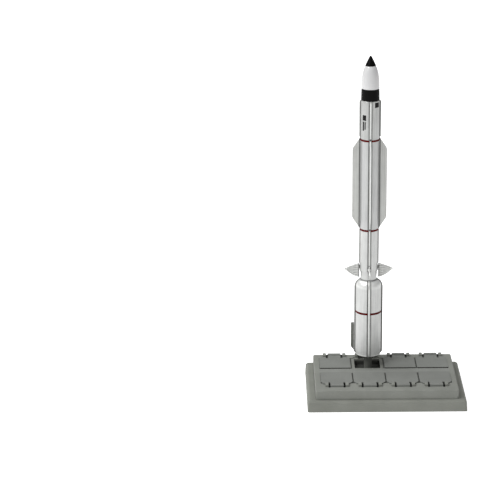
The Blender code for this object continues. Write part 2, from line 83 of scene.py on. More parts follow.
# Colour given as it looks on a screen, turned into what the shader wants
def screenColour(red, green, blue):
    def linear(value):
        share = value / 255
        return share / 12.92 if share <= 0.04045 else ((share + 0.055) / 1.055) ** 2.4

    return (linear(red), linear(green), linear(blue), 1.0)


# Small helpers for node trees

def feed(tree, socket, value):
    if isinstance(value, bpy.types.NodeSocket):
        tree.links.new(value, socket)
    else:
        socket.default_value = value


def addNode(tree, kind, inputs=None, **settings):
    node = tree.nodes.new(kind)
    for setting, value in settings.items():
        setattr(node, setting, value)
    for socket, value in (inputs or {}).items():
        feed(tree, node.inputs[socket], value)
    return node


def calculate(tree, operation, *values):
    inputs = dict(enumerate(values))
    return addNode(tree, "ShaderNodeMath", inputs, operation=operation).outputs[0]


def blendColour(tree, factor, first, second, mode="MIX"):
    inputs = {0: factor, 6: first, 7: second}
    node = addNode(tree, "ShaderNodeMix", inputs, data_type="RGBA", blend_type=mode)
    return node.outputs[2]


def remap(tree, value, fromLow, fromHigh, toLow, toHigh, smooth=False):
    inputs = {"Value": value, "From Min": fromLow, "From Max": fromHigh, "To Min": toLow, "To Max": toHigh}
    kind = "SMOOTHSTEP" if smooth else "LINEAR"
    return addNode(tree, "ShaderNodeMapRange", inputs, interpolation_type=kind).outputs["Result"]


def noise(tree, vector, scale, detail, roughness=0.5):
    inputs = {"Vector": vector, "Scale": scale, "Detail": detail, "Roughness": roughness}
    return addNode(tree, "ShaderNodeTexNoise", inputs).outputs[0]


def mixValue(tree, factor, first, second):
    return addNode(tree, "ShaderNodeMix", {0: factor, 2: first, 3: second}, data_type="FLOAT").outputs[0]


def meshMark(tree, label):
    return addNode(tree, "ShaderNodeAttribute", attribute_name=label).outputs["Fac"]


def separated(tree, vector):
    return addNode(tree, "ShaderNodeSeparateXYZ", {0: vector}).outputs


# Distance from the upright axis through the vector's origin
def axisReach(tree, parts):
    flat = addNode(tree, "ShaderNodeCombineXYZ", {0: parts[0], 1: parts[1], 2: 0.0})
    return addNode(tree, "ShaderNodeVectorMath", {0: flat.outputs[0]}, operation="LENGTH").outputs["Value"]


def newTree(name, kind, inputs, outputs):
    tree = bpy.data.node_groups.new(name, kind)
    for label, socketKind, value in inputs:
        socket = tree.interface.new_socket(label, in_out="INPUT", socket_type=socketKind)
        if value is not None:
            socket.default_value = value
    for label, socketKind in outputs:
        tree.interface.new_socket(label, in_out="OUTPUT", socket_type=socketKind)
    return tree, tree.nodes.new("NodeGroupInput").outputs, tree.nodes.new("NodeGroupOutput").inputs


# Shared finish effects, as shader node groups

def streakGrainGroup():
    # brushed-on silver: fine streaks along the rocket, broad clouding and a metal flake
    tree, given, result = newTree(
        "streakGrain",
        "ShaderNodeTree",
        [
            ("Vector", "NodeSocketVector", None),
            ("Scale", "NodeSocketFloat", 2200.0),
            ("Stretch", "NodeSocketFloat", 0.03),
            ("Flake", "NodeSocketFloat", 0.25),
        ],
        [("Tone", "NodeSocketFloat"), ("Height", "NodeSocketFloat")],
    )
    squeeze = addNode(tree, "ShaderNodeCombineXYZ", {0: 1.0, 1: 1.0, 2: given["Stretch"]})
    stretched = {0: given["Vector"], 1: squeeze.outputs[0]}
    drawn = addNode(tree, "ShaderNodeVectorMath", stretched, operation="MULTIPLY").outputs[0]
    lines = remap(tree, noise(tree, drawn, given["Scale"], 3.0, 0.6), 0.3, 0.7, 0.0, 1.0)
    clouds = remap(tree, noise(tree, given["Vector"], 160.0, 2.0), 0.3, 0.7, 0.0, 1.0)
    sparkle = remap(tree, noise(tree, given["Vector"], 7000.0, 1.0), 0.35, 0.65, 0.0, 1.0)
    body = calculate(tree, "MULTIPLY_ADD", lines, 0.7, calculate(tree, "MULTIPLY", clouds, 0.3))
    kept = calculate(tree, "SUBTRACT", 1.0, given["Flake"])
    flakes = calculate(tree, "MULTIPLY", sparkle, given["Flake"])
    feed(tree, result["Tone"], calculate(tree, "MULTIPLY_ADD", body, kept, flakes))
    glint = calculate(tree, "MULTIPLY", sparkle, 0.4)
    feed(tree, result["Height"], calculate(tree, "MULTIPLY_ADD", lines, 0.6, glint))
    return tree


def ribWashShadeGroup():
    # dark wash with painted shade along both sides of the four ribs, wider and softer on the right as the
    # ribs' painted shadow; Vector is measured from the rocket's axis
    tree, given, result = newTree(
        "ribWash",
        "ShaderNodeTree",
        [
            ("Vector", "NodeSocketVector", None),
            ("Half Width", "NodeSocketFloat", 0.0007),
            ("Left Spread", "NodeSocketFloat", 0.0004),
            ("Right Spread", "NodeSocketFloat", 0.0008),
            ("Left Strength", "NodeSocketFloat", 0.9),
            ("Right Strength", "NodeSocketFloat", 0.5),
        ],
        [("Mask", "NodeSocketFloat")],
    )
    parts = separated(tree, given["Vector"])
    reach = axisReach(tree, parts)
    bearing = calculate(tree, "ARCTAN2", parts[1], parts[0])
    nearest = calculate(tree, "WRAP", bearing, quarterTurn / 2, -quarterTurn / 2)
    # runs from the nearest rib, to the right when seen from outside
    across = calculate(tree, "MULTIPLY", nearest, reach)
    past = calculate(tree, "SUBTRACT", calculate(tree, "ABSOLUTE", across), given["Half Width"])
    onset = remap(tree, past, 0.0, 0.00004, 0.0, 1.0)
    masks = []
    for spread, strength in (("Left Spread", "Left Strength"), ("Right Spread", "Right Strength")):
        share = calculate(tree, "DIVIDE", past, given[spread])
        fade = remap(tree, share, 0.25, 1.0, 1.0, 0.0, smooth=True)
        masks.append(calculate(tree, "MULTIPLY", fade, given[strength]))
    onRight = calculate(tree, "GREATER_THAN", across, 0.0)
    pick = mixValue(tree, onRight, *masks)
    feed(tree, result["Mask"], calculate(tree, "MULTIPLY", pick, onset))
    return tree


def levelBandGroup():
    # soft band round the rocket at one height, for painted shade at a seam or a painted highlight band
    tree, given, result = newTree(
        "levelBand",
        "ShaderNodeTree",
        [
            ("Vector", "NodeSocketVector", None),
            ("Level", "NodeSocketFloat", 0.1),
            ("Half Height", "NodeSocketFloat", 0.0005),
        ],
        [("Mask", "NodeSocketFloat")],
    )
    height = separated(tree, given["Vector"])[2]
    away = calculate(tree, "ABSOLUTE", calculate(tree, "SUBTRACT", height, given["Level"]))
    share = calculate(tree, "DIVIDE", away, given["Half Height"])
    feed(tree, result["Mask"], remap(tree, share, 0.2, 1.0, 1.0, 0.0, smooth=True))
    return tree


def mouldGrainGroup():
    # matt moulded plastic: a fine spark-eroded grain over slow changes of tone
    tree, given, result = newTree(
        "mouldGrain",
        "ShaderNodeTree",
        [("Vector", "NodeSocketVector", None), ("Scale", "NodeSocketFloat", 3200.0)],
        [("Tone", "NodeSocketFloat"), ("Height", "NodeSocketFloat")],
    )
    pits = addNode(tree, "ShaderNodeTexVoronoi", {"Vector": given["Vector"], "Scale": 1900.0})
    grain = remap(tree, noise(tree, given["Vector"], given["Scale"], 3.0, 0.65), 0.3, 0.7, 0.0, 1.0)
    drift = remap(tree, noise(tree, given["Vector"], 90.0, 3.0), 0.35, 0.65, 0.0, 1.0)
    slow = calculate(tree, "MULTIPLY", drift, 0.55)
    feed(tree, result["Tone"], calculate(tree, "MULTIPLY_ADD", grain, 0.45, slow))
    dimple = calculate(tree, "MULTIPLY", pits.outputs["Distance"], 0.4)
    feed(tree, result["Height"], calculate(tree, "MULTIPLY_ADD", grain, 0.6, dimple))
    return tree


def insideBoxGroup():
    # 1 inside an upright box seen from above, 0 outside it
    tree, given, result = newTree(
        "insideBox",
        "ShaderNodeTree",
        [
            ("Vector", "NodeSocketVector", None),
            ("Half X", "NodeSocketFloat", 0.01),
            ("Half Y", "NodeSocketFloat", 0.01),
            ("Middle X", "NodeSocketFloat", 0.0),
            ("Middle Y", "NodeSocketFloat", 0.0),
        ],
        [("Mask", "NodeSocketFloat")],
    )
    parts = separated(tree, given["Vector"])
    offX = calculate(tree, "SUBTRACT", parts[0], given["Middle X"])
    offY = calculate(tree, "SUBTRACT", parts[1], given["Middle Y"])
    across = calculate(tree, "LESS_THAN", calculate(tree, "ABSOLUTE", offX), given["Half X"])
    deep = calculate(tree, "LESS_THAN", calculate(tree, "ABSOLUTE", offY), given["Half Y"])
    feed(tree, result["Mask"], calculate(tree, "MULTIPLY", across, deep))
    return tree


streakGrain = streakGrainGroup()
ribWash = ribWashShadeGroup()
levelBand = levelBandGroup()
mouldGrain = mouldGrainGroup()
insideBox = insideBoxGroup()


# A new material with its Principled shader and a pattern vector measured from centre
def startMaterial(name, centre=(0, 0, 0)):
    made = bpy.data.materials.new(name)
    made.use_nodes = True
    tree = made.node_tree
    shader = tree.nodes["Principled BSDF"]
    place = addNode(tree, "ShaderNodeTexCoord").outputs["Object"]
    mapped = addNode(tree, "ShaderNodeMapping", {"Vector": place, "Location": [-c * mm for c in centre]})
    return made, tree, shader, mapped.outputs[0]


def addBump(tree, shader, height, strength, distance):
    bump = addNode(tree, "ShaderNodeBump", {"Height": height, "Strength": strength, "Distance": distance})
    feed(tree, shader.inputs["Normal"], bump.outputs[0])


def placeGroup(tree, group, **values):
    node = addNode(tree, "ShaderNodeGroup", node_tree=group)
    for label, value in values.items():
        spaced = "".join(" " + c if c.isupper() else c for c in label)
        feed(tree, node.inputs[spaced[:1].upper() + spaced[1:]], value)
    return node.outputs


silverValues = {
    "light": (226, 227, 225),
    "dark": (192, 193, 192),
    "wash": (32, 33, 31),
    "metallic": 0.6,
    "smoothest": 0.30,
    "roughest": 0.44,
    "scale": 2300.0,
    "flake": 0.25,
    "bump": 0.25,
    "washHalf": 0.6,  # where the wash and painted shade start, just outside the rib
    "leftSpread": 1.1,
    "rightSpread": 1.3,
    "leftStrength": 1.0,
    "rightStrength": 0.6,
    "seams": (),  # (height, half height, strength) of painted shade at the joints between sections
    "rims": (),  # the same for painted highlight bands
    "rimColour": (246, 247, 245),
}


def bandMask(tree, vector, level, halfHeight, strength):
    band = placeGroup(tree, levelBand, vector=vector, level=level * mm, halfHeight=halfHeight * mm)
    return calculate(tree, "MULTIPLY", band["Mask"], strength)


def silverPaint(name, changes=None):
    values = {**silverValues, **(changes or {})}
    made, tree, shader, vector = startMaterial(name, rocketAxis)
    grain = placeGroup(tree, streakGrain, vector=vector, scale=values["scale"], flake=values["flake"])
    light, dark, washShadeColour = (screenColour(*values[k]) for k in ("light", "dark", "wash"))
    colour = blendColour(tree, grain["Tone"], dark, light)
    # dark wash with painted shade along the ribs, the ribs' painted shadow on their right
    wash = placeGroup(
        tree,
        ribWash,
        vector=vector,
        halfWidth=values["washHalf"] * mm,
        leftSpread=values["leftSpread"] * mm,
        rightSpread=values["rightSpread"] * mm,
        leftStrength=values["leftStrength"],
        rightStrength=values["rightStrength"],
    )["Mask"]
    # painted shade at the joints between sections
    for level, halfHeight, strength in values["seams"]:
        grime = bandMask(tree, vector, level, halfHeight, strength)
        wash = calculate(tree, "MAXIMUM", wash, grime)
    # painted highlight bands, lighter round the rocket at set heights
    for level, halfHeight, strength in values["rims"]:
        paintedHighlight = bandMask(tree, vector, level, halfHeight, strength)
        colour = blendColour(tree, paintedHighlight, colour, screenColour(*values["rimColour"]))
    # the wash and painted shade are thinner where the streaks stand proud
    thinnedWashShade = calculate(tree, "MULTIPLY", wash, remap(tree, grain["Tone"], 0.0, 1.0, 1.0, 0.8))
    feed(tree, shader.inputs["Base Color"], blendColour(tree, thinnedWashShade, colour, washShadeColour))
    rough = remap(tree, grain["Tone"], 0.0, 1.0, values["roughest"], values["smoothest"])
    feed(tree, shader.inputs["Roughness"], calculate(tree, "MULTIPLY_ADD", thinnedWashShade, 0.25, rough))
    feed(tree, shader.inputs["Metallic"], remap(tree, thinnedWashShade, 0.0, 1.0, values["metallic"], 0.1))
    addBump(tree, shader, grain["Height"], values["bump"], 0.00002)
    return made


wingValues = {
    "light": (210, 211, 208),
    "dark": (180, 181, 178),
    # painted highlight on the blades' edges
    "edge": (246, 247, 245),
    "edgeStrength": 0.9,
    # dark wash with painted shade at the roots
    "wash": (24, 25, 23),
    "metallic": 0.55,
    "roughness": (0.42, 0.55),
    "rootReach": 5.9,
    "rootSpread": 0.75,
    "rootStrength": 1.0,
    "groove": 0.0,  # how strongly dark wash with painted shade shows in the pleats of the fins
}


def wingSilver(name, changes=None):
    # satin silver of the wings and fins: dark wash with painted shade along the roots and in the pleats,
    # painted highlights on the edges (the mesh marks them)
    values = {**wingValues, **(changes or {})}
    made, tree, shader, vector = startMaterial(name, rocketAxis)
    grain = placeGroup(tree, streakGrain, vector=vector, scale=1500.0, stretch=0.02, flake=0.2)
    light, dark, edgeHighlightColour, washShadeColour = (screenColour(*values[k]) for k in ("light", "dark", "edge", "wash"))
    colour = blendColour(tree, grain["Tone"], dark, light)
    reach = axisReach(tree, separated(tree, vector))
    start, end = values["rootReach"] * mm, (values["rootReach"] + values["rootSpread"]) * mm
    root = remap(tree, reach, start, end, values["rootStrength"], 0.0, smooth=True)
    edge = meshMark(tree, "edge")
    colour = blendColour(tree, calculate(tree, "MULTIPLY", edge, values["edgeStrength"]), colour, edgeHighlightColour)
    if values["groove"]:
        groove = meshMark(tree, "groove")
        flat = calculate(tree, "SUBTRACT", 1.0, edge)
        caught = calculate(tree, "MULTIPLY", calculate(tree, "MULTIPLY", groove, values["groove"]), flat)
        root = calculate(tree, "MAXIMUM", root, caught)
    feed(tree, shader.inputs["Base Color"], blendColour(tree, root, colour, washShadeColour))
    smooth, rough = values["roughness"]
    feed(tree, shader.inputs["Roughness"], remap(tree, grain["Tone"], 0.0, 1.0, rough, smooth))
    feed(tree, shader.inputs["Metallic"], remap(tree, root, 0.0, 1.0, values["metallic"], 0.1))
    addBump(tree, shader, grain["Height"], 0.2, 0.00002)
    return made


# Painted plastic in one colour with faint clouding; coat gives the varnish
def plainPaint(name, light, dark, roughness, coat=0.0, metallic=0.0, shine=0.5, scale=2600.0):
    made, tree, shader, vector = startMaterial(name, rocketAxis)
    grain = placeGroup(tree, mouldGrain, vector=vector, scale=scale)
    colour = blendColour(tree, grain["Tone"], screenColour(*dark), screenColour(*light))
    rough = remap(tree, grain["Tone"], 0.0, 1.0, roughness * 1.15, roughness * 0.9)
    feed(tree, shader.inputs["Base Color"], colour)
    feed(tree, shader.inputs["Roughness"], rough)
    shader.inputs["Metallic"].default_value = metallic
    shader.inputs["Specular IOR Level"].default_value = shine
    shader.inputs["Coat Weight"].default_value = coat
    shader.inputs["Coat Roughness"].default_value = 0.11
    addBump(tree, shader, grain["Height"], 0.12, 0.00002)
    return made


greyValues = {
    "light": (137, 139, 133),
    "dark": (124, 126, 120),
    "grime": (40, 41, 38),
    "roughness": (0.5, 0.66),
    "scale": 3000.0,
    "bump": 0.3,
    "grimeLevels": None,  # (clean above, dark below), painted shade in the gaps between lids
    "openLevels": None,  # the same painted shade for the well of the cell that stands open
    "grimeStrength": 0.85,
    "gapWash": 0.0,  # strength of painted shade on the faces that the mesh marks as facing a gap
}


def mouldedGrey(name, changes=None):
    # unpainted grey plastic of the base; painted shade can darken the gaps between the lids and the open
    # cell's well
    values = {**greyValues, **(changes or {})}
    made, tree, shader, vector = startMaterial(name)
    grain = placeGroup(tree, mouldGrain, vector=vector, scale=values["scale"])
    light, dark, grime = (screenColour(*values[k]) for k in ("light", "dark", "grime"))
    colour = blendColour(tree, grain["Tone"], dark, light)
    if values["grimeLevels"]:
        clean, deep = (level * mm for level in values["grimeLevels"])
        inside = placeGroup(tree, insideBox, vector=vector, halfX=gridHalf[0] * mm, halfY=gridHalf[1] * mm,
                            middleY=gridMiddle * mm)["Mask"]
        height = separated(tree, vector)[2]
        sunkShade = remap(tree, height, deep, clean, values["grimeStrength"], 0.0, smooth=True)
        if values["openLevels"]:
            clean, deep = (level * mm for level in values["openLevels"])
            inCell = placeGroup(tree, insideBox, vector=vector, halfX=(cellPitch / 2 - 0.42) * mm,
                                halfY=(hingeReach - 4) / 2 * mm, middleX=hinges[openLid].x * mm,
                                middleY=(stripMiddle + hingeReach / 2) * mm)["Mask"]
            lower = remap(tree, height, deep, clean, values["grimeStrength"], 0.0, smooth=True)
            sunkShade = mixValue(tree, inCell, sunkShade, lower)
        colour = blendColour(tree, calculate(tree, "MULTIPLY", sunkShade, inside), colour, grime)
    if values["gapWash"]:
        gap = meshMark(tree, "gap")
        colour = blendColour(tree, calculate(tree, "MULTIPLY", gap, values["gapWash"]), colour, grime)
    feed(tree, shader.inputs["Base Color"], colour)
    smooth, rough = values["roughness"]
    feed(tree, shader.inputs["Roughness"], remap(tree, grain["Tone"], 0.0, 1.0, smooth, rough))
    shader.inputs["Specular IOR Level"].default_value = 0.3
    addBump(tree, shader, grain["Height"], values["bump"], 0.00004)
    return made


tailFoot = nodeBox("tail_section")[0].z
boosterSilver = silverPaint(
    "boosterSilver",
    {"light": (224, 225, 223), "dark": (194, 195, 194), "washHalf": 0.53, "metallic": 0.45,
     # painted shade where the tail sits on the booster's top
     "seams": ((nodeBox("booster_shell")[1].z, 0.3, 0.5),),
     # painted highlights on the lip of the tail ring and on the shoulder
     "rims": ((nodeBox("booster_tail_ring")[0].z + 0.55, 0.6, 1.0), (64.6, 3.6, 0.9))},
)
tailSilver = silverPaint(
    "tailSilver",
    {"light": (214, 215, 213), "washHalf": 0.1, "leftSpread": 1.0, "rightSpread": 1.2,
     # painted shade at the tail's foot, where it meets the booster
     "leftStrength": 0.3, "rightStrength": 0.2, "seams": ((tailFoot, 0.4, 0.5),)},
)
lowerSilver = silverPaint(
    "lowerSilver",
    {"light": (221, 222, 220), "dark": (191, 192, 191), "washHalf": 0.4},
)
middleSilver = silverPaint(
    "middleSilver",
    {"light": (209, 210, 209), "dark": (178, 179, 179), "washHalf": 0.5, "leftSpread": 1.0},
)
upperSilver = silverPaint(
    "upperSilver",
    {"light": (204, 205, 203), "dark": (173, 174, 173), "washHalf": 0.46, "leftStrength": 0.8,
     "rightStrength": 0.5},
)


def ribHighlightSilver(name, half):
    # painted highlight: brighter than the body on top; dark wash with painted shade down the flanks
    changes = {"light": (240, 241, 238), "dark": (212, 213, 211), "washHalf": half - 0.04,
               "leftSpread": 0.9, "rightSpread": 0.9, "leftStrength": 0.95, "rightStrength": 0.8}
    return silverPaint(name, changes)


wingPaint = wingSilver("wingPaint")
finPaint = wingSilver("finPaint", {"light": (240, 241, 239), "dark": (216, 217, 214), "groove": 0.5,
                                   "rootReach": 6.0, "rootStrength": 0.7})
pearlWhite = plainPaint("pearlWhite", (214, 214, 214), (204, 204, 205), 0.35, coat=1.0)
satinBlack = plainPaint("satinBlack", (13, 13, 12), (8, 8, 8), 0.45, shine=0.08)
tipBlack = plainPaint("tipBlack", (8, 8, 8), (5, 5, 5), 0.36, shine=0.06)
bandRed = plainPaint("bandRed", (98, 15, 16), (80, 10, 12), 0.5, shine=0.1)
markBlack = plainPaint("markBlack", (26, 26, 26), (18, 18, 18), 0.5, shine=0.15)
finSeatGrey = plainPaint("finSeatGrey", (84, 85, 82), (56, 57, 55), 0.5, metallic=0.3, shine=0.3)
# painted shade in the gaps between the lids and in the open cell's well
deckGrey = mouldedGrey("deckGrey", {"grimeLevels": (deckTop - 0.05, deckTop - 0.5),
                                    "openLevels": (deckTop - 0.5, deckTop - 2.2)})
plinthGrey = mouldedGrey("plinthGrey", {"light": (134, 136, 129), "dark": (121, 123, 116)})
lidGrey = mouldedGrey("lidGrey", {"light": (138, 140, 136), "dark": (126, 128, 123)})
# a darker copy of the lid grey: painted shade on the shut lids, with painted shade on their gap faces
shutLidGrey = mouldedGrey("shutLidGrey", {"light": (130, 132, 128), "dark": (119, 121, 117),
                                          "gapWash": 0.8})
# a darker copy of the base grey: painted shade on the post, which stands in the booster's shadow
postGrey = mouldedGrey("postGrey", {"light": (112, 114, 108), "dark": (98, 100, 95)})
plugGrey = mouldedGrey("plugGrey", {"light": (92, 93, 92), "dark": (78, 79, 78), "scale": 2200.0})
pinSteel = plainPaint("hingePinSteel", (58, 58, 57), (38, 38, 38), 0.4, metallic=0.8, scale=5000.0)
print("materials made")


# Mesh helpers, all in millimetres

def roundCorners(points, radius, steps=4, closed=True):
    # a point may carry its own radius as a third number
    rounded = []
    count = len(points)
    for i, point in enumerate(points):
        here = Vector(point[:2])
        own = point[2] if len(point) > 2 else radius
        if own <= 0 or (not closed and i in (0, count - 1)):
            rounded.append(tuple(here))
            continue
        before = Vector(points[i - 1][:2]) - here
        after = Vector(points[(i + 1) % count][:2]) - here
        cut = min(own, before.length * 0.45, after.length * 0.45)
        start, end = here + before.normalized() * cut, here + after.normalized() * cut
        for k in range(steps + 1):
            share = k / steps
            bend = here * 2 * share * (1 - share)
            rounded.append(tuple(start * (1 - share) ** 2 + bend + end * share**2))
    return rounded


def rectangleRing(halfX, halfY, corner, height, steps=8):
    ring = []
    for quarter, (sideX, sideY) in enumerate(((1, 1), (-1, 1), (-1, -1), (1, -1))):
        for i in range(steps + 1):
            turn = quarterTurn * (quarter + i / steps)
            x = sideX * (halfX - corner) + corner * math.cos(turn)
            y = sideY * (halfY - corner) + corner * math.sin(turn)
            ring.append((x, y, height))
    return ring


def skin(rings, closed=False):
    bm = bmesh.new()
    rows = [[bm.verts.new(point) for point in ring] for ring in rings]
    pairs = list(zip(rows, rows[1:])) + ([(rows[-1], rows[0])] if closed else [])
    count = len(rows[0])
    for lower, upper in pairs:
        for i in range(count):
            j = (i + 1) % count
            bm.faces.new((lower[i], lower[j], upper[j], upper[i]))
    if not closed:
        bm.faces.new(rows[0][::-1])
        bm.faces.new(rows[-1])
    return bm


def lathe(profile, sides=128, centre=None, closed=True):
    # (radius, height) points; a profile that isn't closed starts and ends on the axis
    centre = rocketAxis if centre is None else Vector(centre)
    rings = []
    for radius, height in profile:
        rings.append(
            [
                (
                    centre.x + radius * math.cos(2 * math.pi * i / sides),
                    centre.y + radius * math.sin(2 * math.pi * i / sides),
                    centre.z + height,
                )
                for i in range(sides)
            ]
        )
    return skin(rings, closed)


def extruded(outline, low, high, axes=(0, 1, 2)):
    rings = []
    for level in (low, high):
        ring = []
        for a, b in outline:
            point = [0.0, 0.0, 0.0]
            point[axes[0]], point[axes[1]], point[axes[2]] = a, b, level
            ring.append(point)
        rings.append(ring)
    return skin(rings)


def block(low, high):
    corners = [(low[0], low[1]), (high[0], low[1]), (high[0], high[1]), (low[0], high[1])]
    return extruded(corners, low[2], high[2])


def bar(radius, low, high, centre=(0, 0), sides=32):
    # a round bar along X, centred on (y, z)
    outline = []
    for i in range(sides):
        turn = 2 * math.pi * i / sides
        outline.append((centre[0] + radius * math.cos(turn), centre[1] + radius * math.sin(turn)))
    return extruded(outline, low, high, axes=(1, 2, 0))


def joined(*parts):
    whole = bmesh.new()
    for part in parts:
        copy = bpy.data.meshes.new("part")
        part.to_mesh(copy)
        part.free()
        whole.from_mesh(copy)
        bpy.data.meshes.remove(copy)
    return whole


def asMesh(name, bm):
    bmesh.ops.remove_doubles(bm, verts=bm.verts, dist=0.0005)
    bmesh.ops.recalc_face_normals(bm, faces=bm.faces)
    if bm.calc_volume(signed=True) < 0:
        bmesh.ops.reverse_faces(bm, faces=bm.faces)
    bm.transform(Matrix.Scale(mm, 4))
    mesh = bpy.data.meshes.new(name)
    bm.to_mesh(mesh)
    bm.free()
    return mesh


def evaluated(holder):
    graph = bpy.context.evaluated_depsgraph_get()
    result = holder.evaluated_get(graph)
    mesh = bpy.data.meshes.new_from_object(result, preserve_all_data_layers=True, depsgraph=graph)
    holder.modifiers.clear()
    old = holder.data
    holder.data = mesh
    bpy.data.meshes.remove(old)
    mesh.name = holder.name
    return holder


# A finished solid: cut or joined by other shapes, its edges softened, its normals weighted by face area
def shape(name, bm, finish, edge=0.0, edgeSteps=3, cuts=(), smooth=32):
    holder = bpy.data.objects.new(name, asMesh(name, bm))
    scene.collection.objects.link(holder)
    tools = []
    for operation, tool in cuts:
        tools.append(bpy.data.objects.new(name + "Tool", asMesh("tool", tool)))
        scene.collection.objects.link(tools[-1])
        step = holder.modifiers.new(operation.lower(), "BOOLEAN")
        step.operation = operation
        step.object = tools[-1]
        step.solver = "EXACT"
    if edge:
        step = holder.modifiers.new("edges", "BEVEL")
        step.width = edge * mm
        step.segments = edgeSteps
        step.limit_method = "ANGLE"
        step.angle_limit = math.radians(smooth)
    evaluated(holder)
    for tool in tools:
        bpy.data.objects.remove(tool)
    holder.data.materials.clear()
    holder.data.materials.append(finish)
    holder.data.polygons.foreach_set("material_index", [0] * len(holder.data.polygons))
    holder.data.shade_smooth()
    holder.data.set_sharp_from_angle(angle=math.radians(smooth + 8))
    weigh = holder.modifiers.new("weigh", "WEIGHTED_NORMAL")
    weigh.keep_sharp = True
    return evaluated(holder)


# Runs a Geometry Nodes tree on an object and keeps the result as a plain mesh
def grow(holder, tree, values):
    step = holder.modifiers.new("grow", "NODES")
    step.node_group = tree
    for item in tree.interface.items_tree:
        if item.item_type == "SOCKET" and item.in_out == "INPUT" and item.name in values:
            step[item.identifier] = values[item.name]
    return evaluated(holder)


# Copies of a finished pattern on the four sides, each riding its own body and standing for its own node
def fourPieces(pattern, prefix, slot, bodyFor, nodePrefix):
    for quarter, side in enumerate(("Right", "Back", "Left", "Front")):
        mesh = pattern.data.copy()
        turn = Matrix.Rotation(quarterTurn * quarter, 4, "Z")
        mesh.transform(Matrix.Translation(rocketAxis * mm) @ turn)
        piece = bpy.data.objects.new(prefix + side, mesh)
        scene.collection.objects.link(piece)
        settle(piece, bodyFor(side.lower()), slot, nodePrefix + side.lower())
    bpy.data.objects.remove(pattern)


def settle(piece, body, slot, *nodes):
    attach(piece, body)
    if nodes:
        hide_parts(*nodes)
    return piece


# Geometry Nodes trees

# An instance of the given piece on each point, turned about the upright axis
def turnedCopies(tree, given, points, turn):
    spin = addNode(tree, "ShaderNodeCombineXYZ", {2: turn})
    rotation = addNode(tree, "FunctionNodeEulerToRotation", {0: spin.outputs[0]})
    inputs = {"Points": points.outputs[0], "Instance": given["Geometry"], "Rotation": rotation.outputs[0]}
    return addNode(tree, "GeometryNodeInstanceOnPoints", inputs)


# Ends a tree in real geometry with the given material
def finishTree(tree, given, result, last):
    real = addNode(tree, "GeometryNodeRealizeInstances", {0: last.outputs[0]})
    inputs = {"Geometry": real.outputs[0], "Material": given["Finish"]}
    coloured = addNode(tree, "GeometryNodeSetMaterial", inputs)
    feed(tree, result["Geometry"], coloured.outputs[0])
    return tree


def aroundAxisTree():
    # copies a piece, drawn on the +X side of the origin, evenly round an upright axis
    tree, given, result = newTree(
        "aroundAxis",
        "GeometryNodeTree",
        [
            ("Geometry", "NodeSocketGeometry", None),
            ("Count", "NodeSocketInt", 4),
            ("Axis Place", "NodeSocketVector", (0, 0, 0)),
            ("First Turn", "NodeSocketFloat", 0.0),
            ("Finish", "NodeSocketMaterial", None),
        ],
        [("Geometry", "NodeSocketGeometry")],
    )
    points = addNode(tree, "GeometryNodePoints", {"Count": given["Count"], "Position": given["Axis Place"]})
    index = addNode(tree, "GeometryNodeInputIndex").outputs[0]
    share = calculate(tree, "DIVIDE", 2 * math.pi, given["Count"])
    turn = calculate(tree, "MULTIPLY_ADD", index, share, given["First Turn"])
    return finishTree(tree, given, result, turnedCopies(tree, given, points, turn))


def cellGridTree():
    # copies what belongs to one cell of the back row over both rows, the front row turned half round
    tree, given, result = newTree(
        "cellGrid",
        "GeometryNodeTree",
        [
            ("Geometry", "NodeSocketGeometry", None),
            ("Columns", "NodeSocketInt", 4),
            ("Pitch", "NodeSocketFloat", 0.02),
            ("Strip Middle", "NodeSocketFloat", 0.0),
            ("Finish", "NodeSocketMaterial", None),
        ],
        [("Geometry", "NodeSocketGeometry")],
    )
    total = calculate(tree, "MULTIPLY", given["Columns"], 2.0)
    index = addNode(tree, "GeometryNodeInputIndex").outputs[0]
    column = calculate(tree, "MODULO", index, given["Columns"])
    rows = calculate(tree, "DIVIDE", calculate(tree, "ADD", index, 0.5), given["Columns"])
    row = calculate(tree, "FLOOR", rows)
    middle = calculate(tree, "DIVIDE", calculate(tree, "SUBTRACT", given["Columns"], 1.0), 2.0)
    x = calculate(tree, "MULTIPLY", calculate(tree, "SUBTRACT", column, middle), given["Pitch"])
    place = addNode(tree, "ShaderNodeCombineXYZ", {0: x, 1: given["Strip Middle"]})
    points = addNode(tree, "GeometryNodePoints", {"Count": total, "Position": place.outputs[0]})
    turn = calculate(tree, "MULTIPLY", row, math.pi)
    return finishTree(tree, given, result, turnedCopies(tree, given, points, turn))


